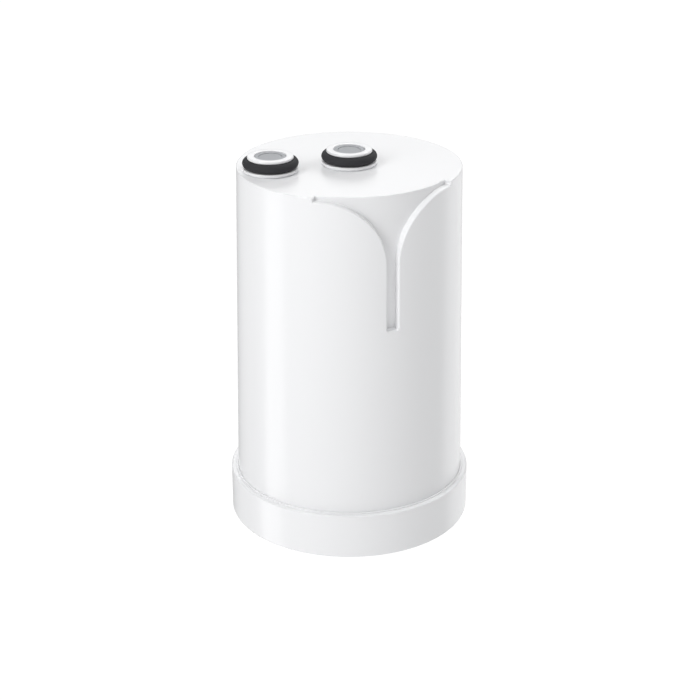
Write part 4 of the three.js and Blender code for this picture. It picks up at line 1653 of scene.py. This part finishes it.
    def potting(self) -> bpy.types.Object:
        """The resin that holds the fibres' open ends, with a meniscus at its rim underneath."""
        low, high = node_box("fibre_potting")
        corners = [
            (0.0, low[2] + 0.5 * MM, 0.0),
            (high[0] - 1.2 * MM, low[2] + 0.5 * MM, 0.5 * MM),
            (high[0] - 0.1 * MM, low[2], 0.05 * MM),
            (high[0], low[2], 0.05 * MM),
            (high[0], high[2], 0.08 * MM),
            (0.0, high[2], 0.0),
        ]
        return turned_piece("fibre_potting", RESIN, corners, around=144)

    def support_ring(self) -> bpy.types.Object:
        """An elastic ring with two beads on each face."""
        node = "element_support_ring"
        low, high = node_box(node)
        outer = high[0]
        inner = outer - 4 * MM
        dip = 0.35 * MM
        ease = 0.3 * MM
        corners = [(inner + 1.4 * MM, low[2] + dip, ease), (outer - 1.4 * MM, low[2] + dip, ease)]
        corners += [(outer - 0.9 * MM, low[2], ease), (outer, low[2], ease), (outer, high[2], ease)]
        corners += [(outer - 0.9 * MM, high[2], ease), (outer - 1.4 * MM, high[2] - dip, ease)]
        corners += [(inner + 1.4 * MM, high[2] - dip, ease), (inner + 0.9 * MM, high[2], ease)]
        corners += [(inner, high[2], ease), (inner, low[2], ease), (inner + 0.9 * MM, low[2], ease)]
        return turned_piece(node, SEAL_RUBBER, corners, around=144)

    def build(self) -> None:
        """Builds the element's pieces from the outside in."""
        self.top_cap()
        self.bottom_cap()
        ORing("element_outlet_o_ring", around=96, sides=20).build()
        self.netting()
        self.fleece()
        self.carbon()
        self.core()
        self.fibres()
        self.potting()
        self.support_ring()


# ---- studio -----------------------------------------------------------------------------------
@dataclass(frozen=True)
class SoftBox:
    """A soft box that faces the cartridge from a metre away.

    Azimuth 0 is at the front and 90 at the right, in degrees. A card stands lower than the floor,
    which reflections don't see, so it only shows as a soft streak on the upright walls.
    """

    name: str
    azimuth: float
    elevation: float
    power: float
    width: float = 0.7
    height: float = 0.7

    def build(self) -> None:
        """Hangs the box up."""
        data = bpy.data.lights.new(self.name, "AREA")
        data.shape = "RECTANGLE"
        data.size = self.width
        data.size_y = self.height
        data.energy = self.power
        light = bpy.data.objects.new(self.name, data)
        light.visible_camera = False
        turn, tilt = math.radians(self.azimuth), math.radians(self.elevation)
        away = Vector((math.sin(turn) * math.cos(tilt), -math.cos(turn) * math.cos(tilt), math.sin(tilt)))
        light.location = Vector((0, 0, 0.05)) + away
        light.rotation_euler = away.to_track_quat("Z", "Y").to_euler()
        bpy.context.scene.collection.objects.link(light)


SOFT_BOXES = (
    SoftBox("key", -47, 30, 4.75, width=0.34),
    SoftBox("overhead", -50, 74, 2.45),
    SoftBox("fill", 30, 45, 1.5),
    SoftBox("right", 122, 30, 4.1),
    SoftBox("back", 180, 45, 2.4),
    SoftBox("back_low", 180, 24, 1.1, width=0.9, height=0.35),
    SoftBox("left_card", -80, -24, 1.9, width=0.4, height=0.5),
    SoftBox("left_back_card", -138, -24, 0.35, width=0.6, height=0.5),
    SoftBox("left_rim_card", -172, -24, 0.35, width=0.3, height=0.5),
    SoftBox("right_card", 138, -24, 1.3, width=0.9, height=0.5),
)


@dataclass(frozen=True)
class Studio:
    """Floor, lights and camera."""

    elevation: float = math.radians(23.6)
    distance: float = 0.4881
    aim_height: float = 0.04669
    side_step: float = 0.0002
    lens: float = 90.49
    room: float = 0.06

    def camera(self) -> None:
        """The camera looks along +Y and down at the cartridge's lower half."""
        data = bpy.data.cameras.new("camera")
        data.lens = self.lens
        data.sensor_width = 36
        data.clip_start = 0.01
        camera = bpy.data.objects.new("camera", data)
        back = Vector((0, -math.cos(self.elevation), math.sin(self.elevation)))
        camera.location = Vector((self.side_step, 0, self.aim_height)) + back * self.distance
        camera.rotation_euler = (math.pi / 2 - self.elevation, 0, 0)
        bpy.context.scene.collection.objects.link(camera)
        bpy.context.scene.camera = camera

    def floor(self) -> None:
        """A large pale floor that is seen from above only, so that the underside shows from below."""
        surface = Surface()
        size = 3.0
        low = -0.05 * MM
        rows = [[[-size, y, low], [size, y, low]] for y in (-size, size)]
        surface.grid(np.array(rows))
        floor = bpy.data.objects.new("floor", surface.mesh("floor"))
        bpy.context.scene.collection.objects.link(floor)
        material = bpy.data.materials.new("floor")
        material.use_nodes = True
        graph = Graph(material.node_tree)
        shader = material.node_tree.nodes["Principled BSDF"]
        shader.inputs["Base Color"].default_value = (0.12, 0.12, 0.12, 1)
        shader.inputs["Roughness"].default_value = 0.9
        shader.inputs["Specular IOR Level"].default_value = 0.1
        shader.inputs["Emission Color"].default_value = (1, 1, 1, 1)
        shader.inputs["Emission Strength"].default_value = 0.94
        clear = graph.add("BsdfTransparent")
        mix = graph.add("MixShader")
        geometry = graph.add("NewGeometry")
        graph.join(geometry.outputs["Backfacing"], mix.inputs[0])
        graph.join(shader.outputs[0], mix.inputs[1])
        graph.join(clear.outputs[0], mix.inputs[2])
        graph.join(mix.outputs[0], material.node_tree.nodes["Material Output"].inputs["Surface"])
        floor.data.materials.append(material)
        floor.visible_glossy = False

    def lights(self) -> None:
        """A dim room with white walls behind the cartridge, and the soft boxes."""
        scene = bpy.context.scene
        scene.view_settings.view_transform = "Standard"
        world = bpy.data.worlds.new("studio")
        world.use_nodes = True
        room = world.node_tree.nodes["Background"]
        room.inputs["Color"].default_value = (1, 1, 1, 1)
        graph = Graph(world.node_tree)
        seen = graph.add("LightPath").outputs["Is Camera Ray"]
        graph.join(graph.ranged(seen, (0, 1), (self.room, 1)), room.inputs["Strength"])
        scene.world = world
        for box in SOFT_BOXES:
            box.build()


def main() -> None:
    """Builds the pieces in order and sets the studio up."""
    logging.basicConfig(level=logging.INFO, format="%(message)s")
    studio = Studio()
    studio.camera()
    shell = ShellSizes.from_frame()
    OuterShell(shell).build()
    BaseCap.from_frame(shell).build()
    BaseCapSeal().build()
    for port in ("outlet", "inlet"):
        ORing(port + "_port_o_ring").build()
        StopValve(port).build()
    InletStrainer().build()
    FilterElement().build()
    studio.floor()
    studio.lights()


if __name__ == "__main__":
    main()
